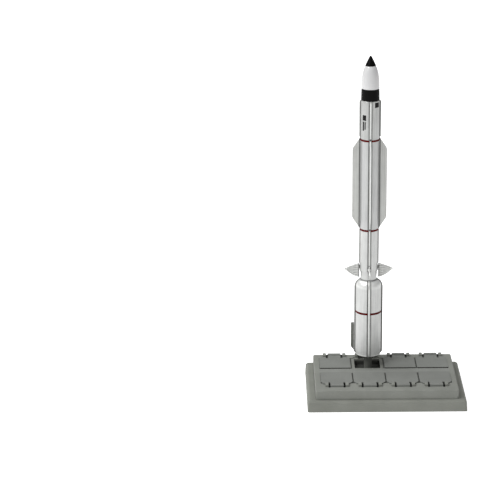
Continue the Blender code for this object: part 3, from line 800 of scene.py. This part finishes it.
def ogiveTree():
    # a turned nose: radius = base radius * (1 - narrowing * share ^ power) * sqrt(1 - share ^ bluntness)
    tree, given, result = newTree(
        "ogive",
        "GeometryNodeTree",
        [
            ("Start", "NodeSocketVector", (0, 0, 0)),
            ("Length", "NodeSocketFloat", 0.01),
            ("Base Radius", "NodeSocketFloat", 0.005),
            ("Narrowing", "NodeSocketFloat", 0.5),
            ("Power", "NodeSocketFloat", 2.0),
            ("Bluntness", "NodeSocketFloat", 60.0),
            ("Steps", "NodeSocketInt", 48),
            ("Sides", "NodeSocketInt", 128),
            ("Finish", "NodeSocketMaterial", None),
        ],
        [("Geometry", "NodeSocketGeometry")],
    )
    line = addNode(tree, "GeometryNodeCurvePrimitiveLine", {"Start": (0, 0, 0), "End": (0, 0, 1)})
    dense = addNode(tree, "GeometryNodeResampleCurve", {"Curve": line.outputs[0], "Count": given["Steps"]})
    along = addNode(tree, "GeometryNodeSplineParameter").outputs["Factor"]
    # points crowd towards the tip, where the radius changes fastest
    share = calculate(tree, "SINE", calculate(tree, "MULTIPLY", along, quarterTurn))
    kept = addNode(tree, "GeometryNodeCaptureAttribute", domain="POINT")
    kept.capture_items.new("FLOAT", "Share")
    feed(tree, kept.inputs[0], dense.outputs[0])
    feed(tree, kept.inputs["Share"], share)
    height = calculate(tree, "MULTIPLY", kept.outputs["Share"], given["Length"])
    climb = addNode(tree, "ShaderNodeCombineXYZ", {2: height})
    spot = addNode(tree, "ShaderNodeVectorMath", {0: climb.outputs[0], 1: given["Start"]}, operation="ADD")
    moved = addNode(
        tree, "GeometryNodeSetPosition", {"Geometry": kept.outputs[0], "Position": spot.outputs[0]}
    )
    eased = calculate(tree, "POWER", kept.outputs["Share"], given["Power"])
    slope = calculate(tree, "MULTIPLY", given["Narrowing"], eased)
    cone = calculate(tree, "SUBTRACT", 1.0, slope)
    rounded = calculate(tree, "POWER", kept.outputs["Share"], given["Bluntness"])
    blunt = calculate(tree, "SUBTRACT", 1.0, rounded)
    cap = calculate(tree, "SQRT", calculate(tree, "MAXIMUM", blunt, 0.0))
    radius = calculate(tree, "MULTIPLY", calculate(tree, "MULTIPLY", cone, cap), given["Base Radius"])
    ring = addNode(tree, "GeometryNodeCurvePrimitiveCircle", {"Resolution": given["Sides"], "Radius": 1.0})
    surface = addNode(
        tree,
        "GeometryNodeCurveToMesh",
        {"Curve": moved.outputs[0], "Profile Curve": ring.outputs[0], "Scale": radius, "Fill Caps": True},
    )
    return finishTree(tree, given, result, surface)


aroundAxis = aroundAxisTree()
cellGrid = cellGridTree()
ogive = ogiveTree()


# Four copies of a piece drawn on the +X side, one on each side of the rocket
def onFourSides(name, bm, finish, edge=0.0, firstTurn=0.0):
    piece = shape(name, bm, finish, edge=edge)
    values = {"Count": 4, "Axis Place": rocketAxis * mm, "First Turn": firstTurn, "Finish": finish}
    return grow(piece, aroundAxis, values)


# Base

plinthValues = {"draft": 0.3, "chamfer": 1.2, "corner": 1.1, "softness": 0.35, "wall": 1.8,
                "seatDepth": 0.6}


def makePlinth():
    values = plinthValues
    high = nodeBox("base_plinth")[1]
    top = high.z
    halfX, halfY = high.x, high.y
    seat = halfX - nodeBox("base_deck")[1].x - 0.06
    # (inset from the side, height) down the outside, from the seat's edge to the foot
    chamfer = values["draft"] + values["chamfer"]
    section = [
        (seat, top - values["seatDepth"], 0),
        (seat, top, 0.1),
        (chamfer, top, values["softness"]),
        (values["draft"], top - values["chamfer"], values["softness"]),
        (0.0, 0.0, 0.15),
        (values["wall"], 0.0, 0.1),
        (values["wall"], 1.6, 0),
    ]
    rings = []
    for inset, height in roundCorners(section, 0.1, steps=4, closed=False):
        corner = max(values["corner"] - inset * 0.3, 0.6)
        rings.append(rectangleRing(halfX - inset, halfY - inset, corner, height))
    settle(shape("plinth", skin(rings), plinthGrey), "base", "base_grey", "base_plinth")


def makeBottomPlate():
    high = nodeBox("base_bottom_plate")[1]
    halfX, halfY = high.x + 0.22, high.y + 0.22
    rings = []
    for inset, height in ((0.25, 0.0), (0.0, 0.25), (0.0, high.z)):
        rings.append(rectangleRing(halfX - inset, halfY - inset, 1.5, height + 0.02))
    piece = shape("bottomPlate", skin(rings), plinthGrey, edge=0.1)
    settle(piece, "base", "base_grey", "base_bottom_plate")


# spans and ends are measured outward from the strip's middle; a pair is (front row, back row)
cellValues = {
    "columns": 4,
    "troughDepth": 0.35,
    "troughEnd": 20.75,
    "shoulder": (7.97, 22.15),  # (half width, end)
    "wellHalf": 7.65,
    "wellSpan": (4.7, 19.7),
    "wellDepth": 3.8,
    "pocketHalf": 5.0,
    "pocketEnd": 26.35,
    "pocketDepths": (2.4, 1.5),
    "slot": (3.85, 5.0),
    "slotStart": 19.8,
    "slotEnds": (27.1, 26.4),
    "slotDepths": (2.4, 0.5),
}


def cellBox(centre, half, side, near, far, low, high):
    ends = sorted((stripMiddle + side * near, stripMiddle + side * far))
    return block((centre - half, ends[0], low), (centre + half, ends[1], high))


def makeDeck():
    values = cellValues
    low, high = nodeBox("base_deck")
    section = [(0.0, low.z - 0.25, 0), (0.0, deckTop, 0.75), (1.6, deckTop, 0)]
    rings = []
    for inset, height in roundCorners(section, 0.75, steps=5, closed=False):
        rings.append(rectangleRing(high.x - inset, high.y - inset, 1.1 - inset * 0.4, height))
    above = deckTop + 1
    troughHalf = (values["columns"] - 1) * cellPitch / 2 + lidValues["half"] + 0.08
    floor = deckTop - values["troughDepth"]
    trough = block(
        (-troughHalf, stripMiddle - values["troughEnd"], floor),
        (troughHalf, stripMiddle + values["troughEnd"], above),
    )
    cuts = [("DIFFERENCE", trough)]
    wells, pockets, slots, shoulders = [], [], [], []
    inner = values["troughEnd"] - 1
    near, far = values["slot"]
    for hinge in hinges.values():
        row = int(hinge.y > stripMiddle)
        side = 1 if row else -1
        depth = deckTop - values["wellDepth"]
        wells.append(cellBox(hinge.x, values["wellHalf"], side, *values["wellSpan"], depth, above))
        half, end = values["shoulder"]
        shoulders.append(cellBox(hinge.x, half, side, inner, end, floor, above + 0.5))
        depth = deckTop - values["pocketDepths"][row]
        half, end = values["pocketHalf"], values["pocketEnd"]
        pockets.append(cellBox(hinge.x, half, side, inner, end, depth, above + 1))
        end = values["slotEnds"][row]
        bottom = deckTop - values["slotDepths"][row]
        for offset in (-(near + far) / 2, (near + far) / 2):
            slots.append(
                cellBox(hinge.x + offset, (far - near) / 2, side, values["slotStart"], end, bottom, above)
            )
    cuts += [("DIFFERENCE", joined(*group)) for group in (shoulders, wells, pockets, slots)]
    piece = shape("deck", skin(rings), deckGrey, edge=0.12, edgeSteps=2, cuts=cuts)
    settle(piece, "base", "base_grey", "base_deck")


lugValues = {"span": (5.0, 6.85), "front": 2.9, "back": 1.1, "slope": 0.6, "top": 1.25}


def makeLugs():
    # two lugs per cell with the bored eye for its pin, drawn for the back row about the strip's middle
    values = lugValues
    top, root = hingeHeight + values["top"], deckTop - 0.7
    outline = [
        (hingeReach - values["front"], root, 0),
        (hingeReach - values["front"], top, values["slope"]),
        (hingeReach + values["back"], top, 0.8),
        (hingeReach + values["back"], root, 0),
    ]
    outline = roundCorners(outline, 0.4, steps=5)
    pair = []
    for near, far in (values["span"], [-x for x in values["span"][::-1]]):
        pair.append(extruded(outline, near, far, axes=(1, 2, 0)))
    bore = bar(0.42, -8, 8, (hingeReach, hingeHeight), sides=24)
    piece = shape("hingeLugs", joined(*pair), deckGrey, edge=0.1, edgeSteps=2, cuts=[("DIFFERENCE", bore)])
    values = {"Columns": 4, "Pitch": cellPitch * mm, "Strip Middle": stripMiddle * mm, "Finish": deckGrey}
    settle(grow(piece, cellGrid, values), "base", "base_grey")


def makePins():
    low, high = nodeBox("hinge_pin_back_1")
    half = (high.x - low.x) / 2
    pin = bar((high.z - low.z) / 2 + 0.03, -half, half, (hingeReach, hingeHeight), sides=24)
    piece = shape("hingePins", pin, pinSteel, edge=0.08, edgeSteps=2)
    values = {"Columns": 4, "Pitch": cellPitch * mm, "Strip Middle": stripMiddle * mm, "Finish": pinSteel}
    pins = [node for node in frame["nodes"] if node.startswith("hinge_pin_")]
    settle(grow(piece, cellGrid, values), "base", "pin_steel", *pins)


def makeCover():
    # it stands a little lower than the lids beside it
    top = deckTop - 0.08
    low = (coverLow.x, coverLow.y - 0.05, coverLow.z - 0.25)
    cover = block(low, (coverHigh.x, coverHigh.y + 0.05, top))
    piece = shape("uptakeCover", cover, lidGrey, edge=0.12, edgeSteps=3)
    settle(piece, "base", "base_grey", "uptake_cover")


postValues = {"foot": 2.38}  # radius of the foot under the booster


def makePost():
    low, high = nodeBox("support_post")
    radius = (high.x - low.x) / 2
    profile = [(0.001, low.z), (radius, low.z), (radius, high.z - 0.2, 0.9)]
    profile += [(1.2, high.z, 0.3), (0.001, high.z)]
    # a stout foot fills the space between the floor of its cell and the booster
    top = nodeBox("booster_end_plug")[0].z - 0.35
    foot = postValues["foot"]
    collar = [(0.001, low.z + 0.2), (foot, low.z + 0.2), (foot, top, 0.4), (0.001, top)]
    post = lathe(roundCorners(profile, 0.3, closed=False), 64, closed=False)
    foot = lathe(roundCorners(collar, 0.3, closed=False), 64, closed=False)
    piece = shape("supportPost", joined(post, foot), postGrey)
    settle(piece, "base", "base_grey", "support_post")


lidValues = {"thickness": 0.78, "half": 9.36, "inner": 3.6, "outer": 21.9, "corner": (2.3, 2.9),
             "tongueHalf": 3.85, "slot": (5.0, 2.2), "knuckle": 1.2, "bore": 0.42, "recess": 0.3,
             "rim": 1.3, "edge": 0.1}


def lidMesh():
    # one lid lying shut, drawn about its hinge line, with a rimmed underside and a bored knuckle
    values = lidValues
    half, tongue = values["half"], values["tongueHalf"]
    near, far = values["outer"] - hingeReach, values["inner"] - hingeReach
    cornerX, cornerY = values["corner"]
    slotX, slotY = values["slot"]
    side = [
        (tongue, 0.0, 0),
        (tongue, near - slotY, 0),
        (slotX, near - slotY, 0),
        (slotX, near, 0.15),
        (half - cornerX, near, 0.25),
        (half, near - cornerY, 0.4),
        (half, far, 0.4),
    ]
    outline = roundCorners(side + [(-x, y, r) for x, y, r in reversed(side)], 0.2, steps=3)
    top = lidTop - hingeHeight
    low = top - values["thickness"]
    rim = values["rim"]
    recess = block(
        (-half + rim, far + rim, low - 1), (half - rim, near - cornerY - 0.4, low + values["recess"])
    )
    knuckle = bar(values["knuckle"], -tongue, tongue)
    bore = bar(values["bore"], -tongue - 1, tongue + 1, sides=24)
    cuts = [("DIFFERENCE", recess), ("UNION", knuckle), ("DIFFERENCE", bore)]
    plate = extruded(outline, low, top)
    lid = shape("lid", plate, shutLidGrey, edge=values["edge"], edgeSteps=2, cuts=cuts)
    # faces beside a neighbouring lid or the cover are marked for painted shade
    gap = lid.data.attributes.new("gap", "FLOAT", "FACE")
    for i, face in enumerate(lid.data.polygons):
        outward = abs(face.center.x) > (half - 0.5) * mm and abs(face.normal.x) > 0.8
        inward = face.center.y < (far + 0.5) * mm and face.normal.y < -0.8
        gap.data[i].value = 1.0 if outward or inward else 0.0
    return lid


def makeLids():
    pattern = lidMesh()
    for body, hinge in hinges.items():
        node = "hatch_" + body
        low, high = nodeBox(node)
        mesh = pattern.data.copy()
        turn = Matrix.Identity(4)
        if hinge.y < stripMiddle:
            turn = Matrix.Rotation(math.pi, 4, "Z")
        elif high.z - low.z > hingeReach / 2:  # the open one stands upright
            turn = Matrix.Rotation(-quarterTurn, 4, "X")
            # the open lid takes the paler lid grey: painted light on its underside, which faces the front
            mesh.materials[0] = lidGrey
        mesh.transform(Matrix.Translation(hinge * mm) @ turn)
        label = "".join(word.capitalize() for word in body.split("_")[1:])
        lid = bpy.data.objects.new("hatchLid" + label, mesh)
        scene.collection.objects.link(lid)
        settle(lid, body, "base_grey", node)
    bpy.data.objects.remove(pattern)


makePlinth()
makeBottomPlate()
makeDeck()
makeLugs()
makePins()
makeCover()
makePost()
makeLids()
print("base made")


# Rocket

# A rib on the +X side: levels are (height, body radius, rib radius); its foot flares into the body
def ribMesh(levels, half, flare=0.14, corner=0.2, inside=0.6):
    rings = []
    for height, radius, reach in levels:
        foot = half + flare
        seat = math.sqrt(radius**2 - foot**2)
        proud = max(reach - seat, 0.02)
        bend = min(corner, proud * 0.4)
        side = [(seat - inside, -foot), (seat - 0.03, -foot), (seat + min(flare, proud * 0.5), -half)]
        for k in range(4):
            turn = quarterTurn * k / 3
            side.append((reach - bend + bend * math.sin(turn), -half + bend - bend * math.cos(turn)))
        rings.append([(x, y, height) for x, y in side] + [(x, -y, height) for x, y in reversed(side)])
    return skin(rings)


# A painted ring between the ribs, drawn as one quarter
def ringArc(radius, level, halfHeight, gap, lift=0.07, steps=20):
    start = math.asin(gap / radius)
    rings = []
    for i in range(steps + 1):
        turn = start + (quarterTurn - 2 * start) * i / steps
        along = Vector((math.cos(turn), math.sin(turn), 0))
        ends = ((-0.2, -halfHeight), (lift, -halfHeight), (lift, halfHeight), (-0.2, halfHeight))
        rings.append([tuple(along * (radius + out) + Vector((0, 0, level + up))) for out, up in ends])
    return skin(rings)


# A thin mark on a round surface; bearings in degrees, 0 facing the front, positive to the right
def markPatch(radius, bearings, levels, lift=0.045, steps=8):
    rings = []
    for i in range(steps + 1):
        turn = math.radians(bearings[0] + (bearings[1] - bearings[0]) * i / steps) - quarterTurn
        along = Vector((math.cos(turn), math.sin(turn), 0))
        ends = ((-0.1, levels[0]), (lift, levels[0]), (lift, levels[1]), (-0.1, levels[1]))
        rings.append([tuple(rocketAxis + along * (radius + out) + Vector((0, 0, up))) for out, up in ends])
    return skin(rings)


boosterValues = {"radius": 7.7, "rib": 8.5, "half": 0.55, "shoulder": 61.7, "domeTop": 4.7, "bore": 6.3,
                 "hole": 2.45, "roof": 1.6, "domeSteps": 16, "ringLevel": 46.4, "lipInset": 0.12}


def boosterRadius(share):
    # radius and height along the rounded shoulder, from its foot to its top
    values = boosterValues
    top = nodeBox("booster_shell")[1].z
    turn = quarterTurn * share
    radius = values["domeTop"] + (values["radius"] - values["domeTop"]) * math.cos(turn)
    return radius, values["shoulder"] + (top - values["shoulder"]) * math.sin(turn)


def makeBooster():
    values = boosterValues
    low, high = nodeBox("booster_shell")
    ringLow, ringHigh = nodeBox("booster_tail_ring")
    radius, bore, hole = values["radius"], values["bore"], values["hole"]
    outer = radius - values["lipInset"]
    start = low.z - 0.22
    outside = [(outer, start), (radius, start + 0.12), (radius, start + 0.6)]
    outside.append((radius, values["shoulder"] - 0.5))
    outside += [boosterRadius(i / values["domeSteps"]) for i in range(values["domeSteps"] + 1)]
    roof = values["shoulder"] - values["roof"]
    inside = [(hole + 0.3, high.z), (hole, high.z - 0.3), (hole, roof), (bore, roof), (bore, start)]
    shell = shape("boosterShell", lathe(outside + inside, 160), boosterSilver)
    settle(shell, "booster", "silver_body", "booster_shell")

    levels = [(ringLow.z + 0.4, radius - 0.1, radius - 0.05), (ringLow.z + 1.3, radius, values["rib"])]
    for i in range(values["domeSteps"]):
        share = i / values["domeSteps"]
        bodyRadius, height = boosterRadius(share)
        proud = (values["rib"] - radius) * (1 - 0.75 * share)
        levels.append((height, bodyRadius, bodyRadius + proud))
    finish = ribHighlightSilver("boosterRibSilver", values["half"])
    ribs = onFourSides("boosterRibs", ribMesh(levels, values["half"]), finish)
    settle(ribs, "booster", "silver_body")

    arcs = ringArc(radius, values["ringLevel"], 0.62, values["half"] + 0.15)
    settle(onFourSides("boosterRedRing", arcs, bandRed), "booster", "silver_body")

    top = ringHigh.z + 0.05
    profile = [(bore, ringLow.z, 0.15), (outer, ringLow.z, 0.4), (outer, top, 0.1), (bore, top, 0)]
    ring = shape("boosterTailRing", lathe(roundCorners(profile, 0.2), 160), boosterSilver)
    settle(ring, "booster", "silver_body", "booster_tail_ring")

    plugLow, plugHigh = nodeBox("booster_end_plug")
    postBore = (postHigh.x - postLow.x) / 2 + 0.12
    profile = [
        (0.001, postHigh.z + 0.3, 0),
        (postBore, postHigh.z + 0.3, 0),
        (postBore, plugLow.z, 0.3),
        (bore - 0.02, plugLow.z, 0),
        (bore - 0.02, plugHigh.z, 0),
        (0.001, plugHigh.z, 0),
    ]
    turned = lathe(roundCorners(profile, 0.2, closed=False), 96, closed=False)
    plug = shape("boosterEndPlug", turned, plugGrey)
    settle(plug, "booster", "inner_grey", "booster_end_plug")


sectionValues = {
    "tail": {"radius": 4.7},
    "lower": {"radius": 5.31, "rib": 5.85, "half": 0.42},
    "middle": {"radius": 5.4},
    "upper": {"radius": 5.52, "rib": 6.33, "half": 0.48},
    "band": {"radius": 5.42, "taper": 0.2},
}
halfGap = 0.15
sectionEnds = {  # the seams between the upper stage's sections, halfway across the CAD model's gaps
    "tailLow": tailFoot - 0.25,
    "lowerLow": nodeBox("lower_body")[0].z - halfGap,
    "middleLow": nodeBox("wing_body")[0].z - halfGap,
    "upperLow": nodeBox("upper_body")[0].z - halfGap,
    "bandLow": nodeBox("nose_band")[0].z - halfGap,
    "noseLow": nodeBox("nose_cone")[0].z - halfGap,
}


def tube(name, low, high, radius, finish, node, slot="silver_body", inner=3.0, top=0.12, taper=0.0):
    # a plain section; top gives a wider rounding for its upper edge
    softness = 0.12
    profile = [
        (inner, low + 0.02, 0),
        (radius, low + 0.02, softness),
        (radius - taper, high - 0.02, top),
        (inner, high - 0.02, 0),
    ]
    piece = shape(name, lathe(roundCorners(profile, softness, steps=6), 144), finish)
    settle(piece, "upper_stage", slot, node)


def makeJoiner():
    low, high = nodeBox("stage_joiner")
    radius = (high.x - low.x) / 2
    profile = [(0.001, low.z), (radius, low.z, 0.5), (radius, high.z, 0.2), (0.001, high.z)]
    turned = lathe(roundCorners(profile, 0.3, closed=False), 64, closed=False)
    settle(shape("stageJoiner", turned, plugGrey), "upper_stage", "inner_grey", "stage_joiner")


finPivot = joints["fin_right_turn"]["pos_m"][2] / mm
finRoot = joints["fin_right_turn"]["pos_m"][0] / mm - rocketAxis.x


def makeSections():
    ends = sectionEnds
    tail, lower, middle, upper = (sectionValues[k] for k in ("tail", "lower", "middle", "upper"))
    tube("tailSection", ends["tailLow"], ends["lowerLow"], tail["radius"], tailSilver, "tail_section",
         inner=2.32)
    tube("lowerBody", ends["lowerLow"], ends["middleLow"], lower["radius"], lowerSilver, "lower_body")
    tube("wingBody", ends["middleLow"], ends["upperLow"], middle["radius"], middleSilver, "wing_body")
    tube("upperBody", ends["upperLow"], ends["bandLow"], upper["radius"], upperSilver, "upper_body",
         top=0.55)
    band = sectionValues["band"]
    tube("noseBand", ends["bandLow"], ends["noseLow"], band["radius"], satinBlack, "nose_band",
         "black_parts", taper=band["taper"])

    start = nodeBox("tail_fin_right")[1].z + 0.25
    levels = [(start, lower["radius"], lower["rib"] - 0.15), (start + 0.5, lower["radius"], lower["rib"])]
    levels.append((ends["middleLow"] - 0.05, lower["radius"], lower["rib"]))
    finish = ribHighlightSilver("lowerRibSilver", lower["half"])
    ribs = onFourSides("lowerRibs", ribMesh(levels, lower["half"], corner=0.16), finish)
    settle(ribs, "upper_stage", "silver_body")

    start, end = nodeBox("wing_right")[1].z + 0.05, ends["bandLow"]
    levels = [
        (ends["upperLow"] + 0.1, upper["radius"], upper["radius"] + 0.05),
        (start, upper["radius"], upper["radius"] + 0.05),
        (start + 0.5, upper["radius"], upper["rib"]),
        (end - 1.1, upper["radius"], upper["rib"]),
        (end - 0.6, upper["radius"], upper["rib"] - 0.14),
        (end - 0.3, upper["radius"] - 0.08, upper["radius"] + 0.3),
    ]
    finish = ribHighlightSilver("upperRibSilver", upper["half"])
    ribs = onFourSides("upperRibs", ribMesh(levels, upper["half"]), finish)
    settle(ribs, "upper_stage", "silver_body")

    for name, level, radius in (
        ("lowerRedRing", ends["middleLow"], middle["radius"]),
        ("upperRedRing", ends["upperLow"], upper["radius"]),
    ):
        arcs = ringArc(radius, level, 0.58, 0.6)
        settle(onFourSides(name, arcs, bandRed), "upper_stage", "silver_body")


# each mark is (bearings, heights)
markValues = {
    "panel": ((27, 61), (172.6, 175.6)),
    "bars": (
        ((-54, -28), (164.9, 168.1)),
        ((-53, -43), (158.7, 164.2)),
        ((-38, -31), (159.6, 164.2)),
    ),
}


def makeMarks():
    # a plain square on one side and three plain bars on the other
    radius = sectionValues["upper"]["radius"]
    patches = [markPatch(radius, *markValues["panel"])]
    patches += [markPatch(radius, *place) for place in markValues["bars"]]
    settle(shape("hullMarks", joined(*patches), markBlack), "upper_stage", "silver_body")


noseValues = {
    "cone": {"Narrowing": 0.42, "Power": 2.8, "Bluntness": 400.0, "Steps": 56, "Sides": 144},
    "tip": {"Narrowing": 0.86, "Power": 1.08, "Bluntness": 30.0, "Steps": 64, "Sides": 96},
}


def makeNose():
    coneLow, coneHigh = nodeBox("nose_cone")
    tipTop = nodeBox("nose_tip")[1].z
    radius = (coneHigh.x - coneLow.x) / 2
    low, high = sectionEnds["noseLow"] + 0.05, coneHigh.z + 0.1
    tipRadius = radius * (1 - noseValues["cone"]["Narrowing"])
    for name, start, end, base, key, finish, slot, node in (
        ("noseCone", low, high, radius, "cone", pearlWhite, "nose_white", "nose_cone"),
        ("noseTip", high + 0.04, tipTop, tipRadius, "tip", tipBlack, "black_parts", "nose_tip"),
    ):
        holder = bpy.data.objects.new(name, bpy.data.meshes.new(name))
        scene.collection.objects.link(holder)
        place = (rocketAxis + Vector((0, 0, start))) * mm
        sizes = {"Start": place, "Length": (end - start) * mm, "Base Radius": base * mm, "Finish": finish}
        grow(holder, ogive, {**noseValues[key], **sizes})
        bm = bmesh.new()
        bm.from_mesh(holder.data)
        bm.transform(Matrix.Scale(1 / mm, 4))
        bpy.data.objects.remove(holder)
        settle(shape(name, bm, finish, smooth=40), "upper_stage", slot, node)


wingShape = {"thickness": 0.8, "root": 5.0, "levels": (98.1, 105.0, 147.2, 153.9), "fairing": 0.5}


# Marks the faces along a blade's rim, for its painted edge highlight; the blade is drawn in the XZ plane
def markHighlightEdges(blade):
    mark = blade.data.attributes.new("edge", "FLOAT", "FACE")
    for i, face in enumerate(blade.data.polygons):
        mark.data[i].value = 1.0 if abs(face.normal.y) < 0.6 else 0.0


def makeWings():
    values = wingShape
    tip = nodeBox("wing_right")[1].x - rocketAxis.x
    clear = sectionValues["upper"]["radius"]
    rootLow, outerLow, outerHigh, rootHigh = values["levels"]
    outline = [
        (values["root"], rootLow, 0),
        (clear + 0.1, rootLow, 0.2),
        (tip, outerLow, 1.1),
        (tip, outerHigh, 1.1),
        (clear + 0.1, rootHigh, 0.4),
        (values["root"], rootHigh, 0),
    ]
    outline = roundCorners(outline, 0.4, steps=6)
    half = values["thickness"] / 2
    blade = extruded(outline, -half, half, axes=(0, 2, 1))
    wing = shape("wing", blade, wingPaint, edge=0.1, edgeSteps=3)
    markHighlightEdges(wing)
    fourPieces(wing, "wing", "wing_silver", lambda side: "upper_stage", "wing_")

    radius = sectionValues["middle"]["radius"]
    levels = [(rootLow + 0.2, radius, radius + 0.04), (rootLow + 0.8, radius, radius + 0.3)]
    levels += [(sectionEnds["upperLow"] - 0.5, radius, radius + 0.3)]
    fairing = ribMesh(levels, values["fairing"], flare=0.25, corner=0.1)
    roots = onFourSides("wingRootFairings", fairing, middleSilver)
    settle(roots, "upper_stage", "silver_body")


finValues = {"tipLevel": 72.9, "tipHalf": 0.25, "thickness": 0.78, "pleats": 7, "pleatDepth": 0.5,
             "across": 56, "along": 22, "hub": 0.85}
# (height above the pivot, half width, which body radius, how far out) down each seat
seatLevels = (
    (1.5, 0.55, "lower", 0.02),
    (0.8, 1.0, "lower", 0.24),
    (-0.4, 0.95, "lower", 0.28),
    (-1.7, 0.72, "lower", 0.1),
    (-2.7, 0.55, "tail", 0.2),
    (-5.6, 0.16, "tail", 0.02),
)


def makeFins():
    # leaf-shaped fins; shallow pleats run from the root and draw together at the tip
    values = finValues
    low, high = nodeBox("tail_fin_right")
    reach = high.x - rocketAxis.x
    tipLow, tipHigh = values["tipLevel"] - values["tipHalf"], values["tipLevel"] + values["tipHalf"]

    def edges(share):
        bottom = low.z + (tipLow - low.z) * share**1.7
        return bottom, tipHigh + (high.z - tipHigh) * (1 - share**1.35)

    def pleat(rise):
        return (0.5 - 0.5 * math.cos(2 * math.pi * values["pleats"] * rise)) ** 0.6

    columns = []
    for i in range(values["along"] + 1):
        share = i / values["along"]
        radius = finRoot + (reach - finRoot) * share
        bottom, top = edges(share)
        column = []
        for j in range(values["across"] + 1):
            rise = j / values["across"]
            rim = min(1.0, 0.85 + 9 * min(rise, 1 - rise, 0.6 * (1 - share) + 0.02))
            half = values["thickness"] / 2 * (1 - values["pleatDepth"] * (1 - pleat(rise))) * rim
            column.append((radius, half, bottom + (top - bottom) * rise))
        columns.append(column)
    rings = []
    for column in columns:
        rings.append(column + [(x, -y, z) for x, y, z in reversed(column)])
    blade = skin(rings)
    hub = bar(values["hub"], finRoot - 0.9, finRoot + 1.5, (0, finPivot), sides=40)
    fin = shape("fin", joined(blade, hub), finPaint, smooth=50)
    markHighlightEdges(fin)
    groove = fin.data.attributes.new("groove", "FLOAT", "POINT")
    for i, vertex in enumerate(fin.data.vertices):
        share = min(max((vertex.co.x / mm - finRoot) / (reach - finRoot), 0.0), 1.0)
        bottom, top = edges(share)
        rise = min(max((vertex.co.z / mm - bottom) / (top - bottom), 0.0), 1.0)
        groove.data[i].value = (1 - pleat(rise)) * (1 - share**4)
    fourPieces(fin, "tailFin", "wing_silver", lambda side: "fin_" + side, "tail_fin_")

    # wedge-shaped seats on the body under each fin's root, narrowing down over the tail
    inner = sectionValues["tail"]["radius"] - 0.6
    rings = []
    for rise, half, section, proud in seatLevels:
        height, out = finPivot + rise, sectionValues[section]["radius"] + proud
        side = [(inner, -half), (out - 0.2, -half), (out, -half + 0.14)]
        ring = side + [(x, -y) for x, y in reversed(side)]
        rings.append([(x, y, height) for x, y in ring])
    seats = onFourSides("finSeats", skin(rings), finSeatGrey, edge=0.06)
    settle(seats, "upper_stage", "silver_body")


makeBooster()
makeJoiner()
makeSections()
makeMarks()
makeNose()
makeWings()
makeFins()
print("rocket made")


# Floor, lights and camera

floorValues = {"size": 8.0, "drop": 0.0001, "albedo": 0.74, "glow": 0.42, "seen": 0.8}


def makeFloor():
    values = floorValues
    bm = bmesh.new()
    bmesh.ops.create_grid(bm, x_segments=1, y_segments=1, size=values["size"])
    mesh = bpy.data.meshes.new("floor")
    bm.to_mesh(mesh)
    bm.free()
    floor = bpy.data.objects.new("floor", mesh)
    floor.location.z = -values["drop"]
    scene.collection.objects.link(floor)
    white = bpy.data.materials.new("floorWhite")
    white.use_nodes = True
    tree = white.node_tree
    shader = tree.nodes["Principled BSDF"]
    shader.inputs["Base Color"].default_value = (*[values["albedo"]] * 3, 1)
    shader.inputs["Roughness"].default_value = 0.9
    shader.inputs["Specular IOR Level"].default_value = 0.1
    shader.inputs["Emission Color"].default_value = (1, 1, 1, 1)
    seen = addNode(tree, "ShaderNodeLightPath").outputs["Is Camera Ray"]
    glow = remap(tree, seen, 0.0, 1.0, values["glow"], values["seen"])
    feed(tree, shader.inputs["Emission Strength"], glow)
    mesh.materials.append(white)


lightValues = {
    "key": {"place": (-1.1, -0.72, 1.3), "size": 0.7, "power": 12.0},
    "front": {"place": (-0.1, -1.9, 0.8), "size": 0.7, "power": 0.5},
    "top": {"place": (-0.65, 0.2, 1.3), "size": 1.0, "power": 7.5},
}


def makeLights():
    for name, values in lightValues.items():
        light = bpy.data.lights.new(name, "AREA")
        light.size = values["size"]
        light.energy = values["power"]
        lamp = bpy.data.objects.new(name, light)
        lamp.location = values["place"]
        aim = Vector((0, 0, 0.09)) - lamp.location
        lamp.rotation_euler = aim.to_track_quat("-Z", "Y").to_euler()
        scene.collection.objects.link(lamp)


worldValues = {"left": 0.33, "right": 0.22, "above": 0.5, "seen": 1.0}


def makeWorld():
    # a soft white room, brighter on the left, that shows as plain white
    world = bpy.data.worlds.new("studio")
    world.use_nodes = True
    scene.world = world
    tree = world.node_tree
    background = tree.nodes["Background"]
    direction = addNode(tree, "ShaderNodeTexCoord").outputs["Generated"]
    parts = separated(tree, direction)
    sideGlow = remap(tree, parts[0], -1.0, 1.0, worldValues["left"], worldValues["right"])
    glow = calculate(tree, "ADD", sideGlow, remap(tree, parts[2], 0.3, 1.0, 0.0, worldValues["above"]))
    seen = addNode(tree, "ShaderNodeLightPath").outputs["Is Camera Ray"]
    feed(tree, background.inputs["Strength"], mixValue(tree, seen, glow, worldValues["seen"]))
    background.inputs["Color"].default_value = (1, 1, 1, 1)


# angles in degrees
cameraValues = {"place": (-0.07627, -1.22067, 0.49359), "down": 18.3, "right": -0.17, "roll": -0.47,
                "lens": 157.68}


def makeCamera():
    values = cameraValues
    down, right, roll = (math.radians(values[k]) for k in ("down", "right", "roll"))
    level = math.cos(down)
    forward = Vector((math.sin(right) * level, math.cos(right) * level, -math.sin(down)))
    side = Vector((math.cos(right), -math.sin(right), 0))
    up = side.cross(forward)
    axisX = side * math.cos(roll) + up * math.sin(roll)
    axisY = up * math.cos(roll) - side * math.sin(roll)
    data = bpy.data.cameras.new("camera")
    data.lens = values["lens"]
    data.sensor_width = 36.0
    data.clip_start = 0.01
    data.clip_end = 50.0
    camera = bpy.data.objects.new("camera", data)
    turn = Matrix((axisX, axisY, -forward)).transposed()
    camera.matrix_world = Matrix.Translation(values["place"]) @ turn.to_4x4()
    scene.collection.objects.link(camera)
    scene.camera = camera


makeFloor()
makeLights()
makeWorld()
makeCamera()
scene.view_settings.view_transform = "Standard"
print("stage made")
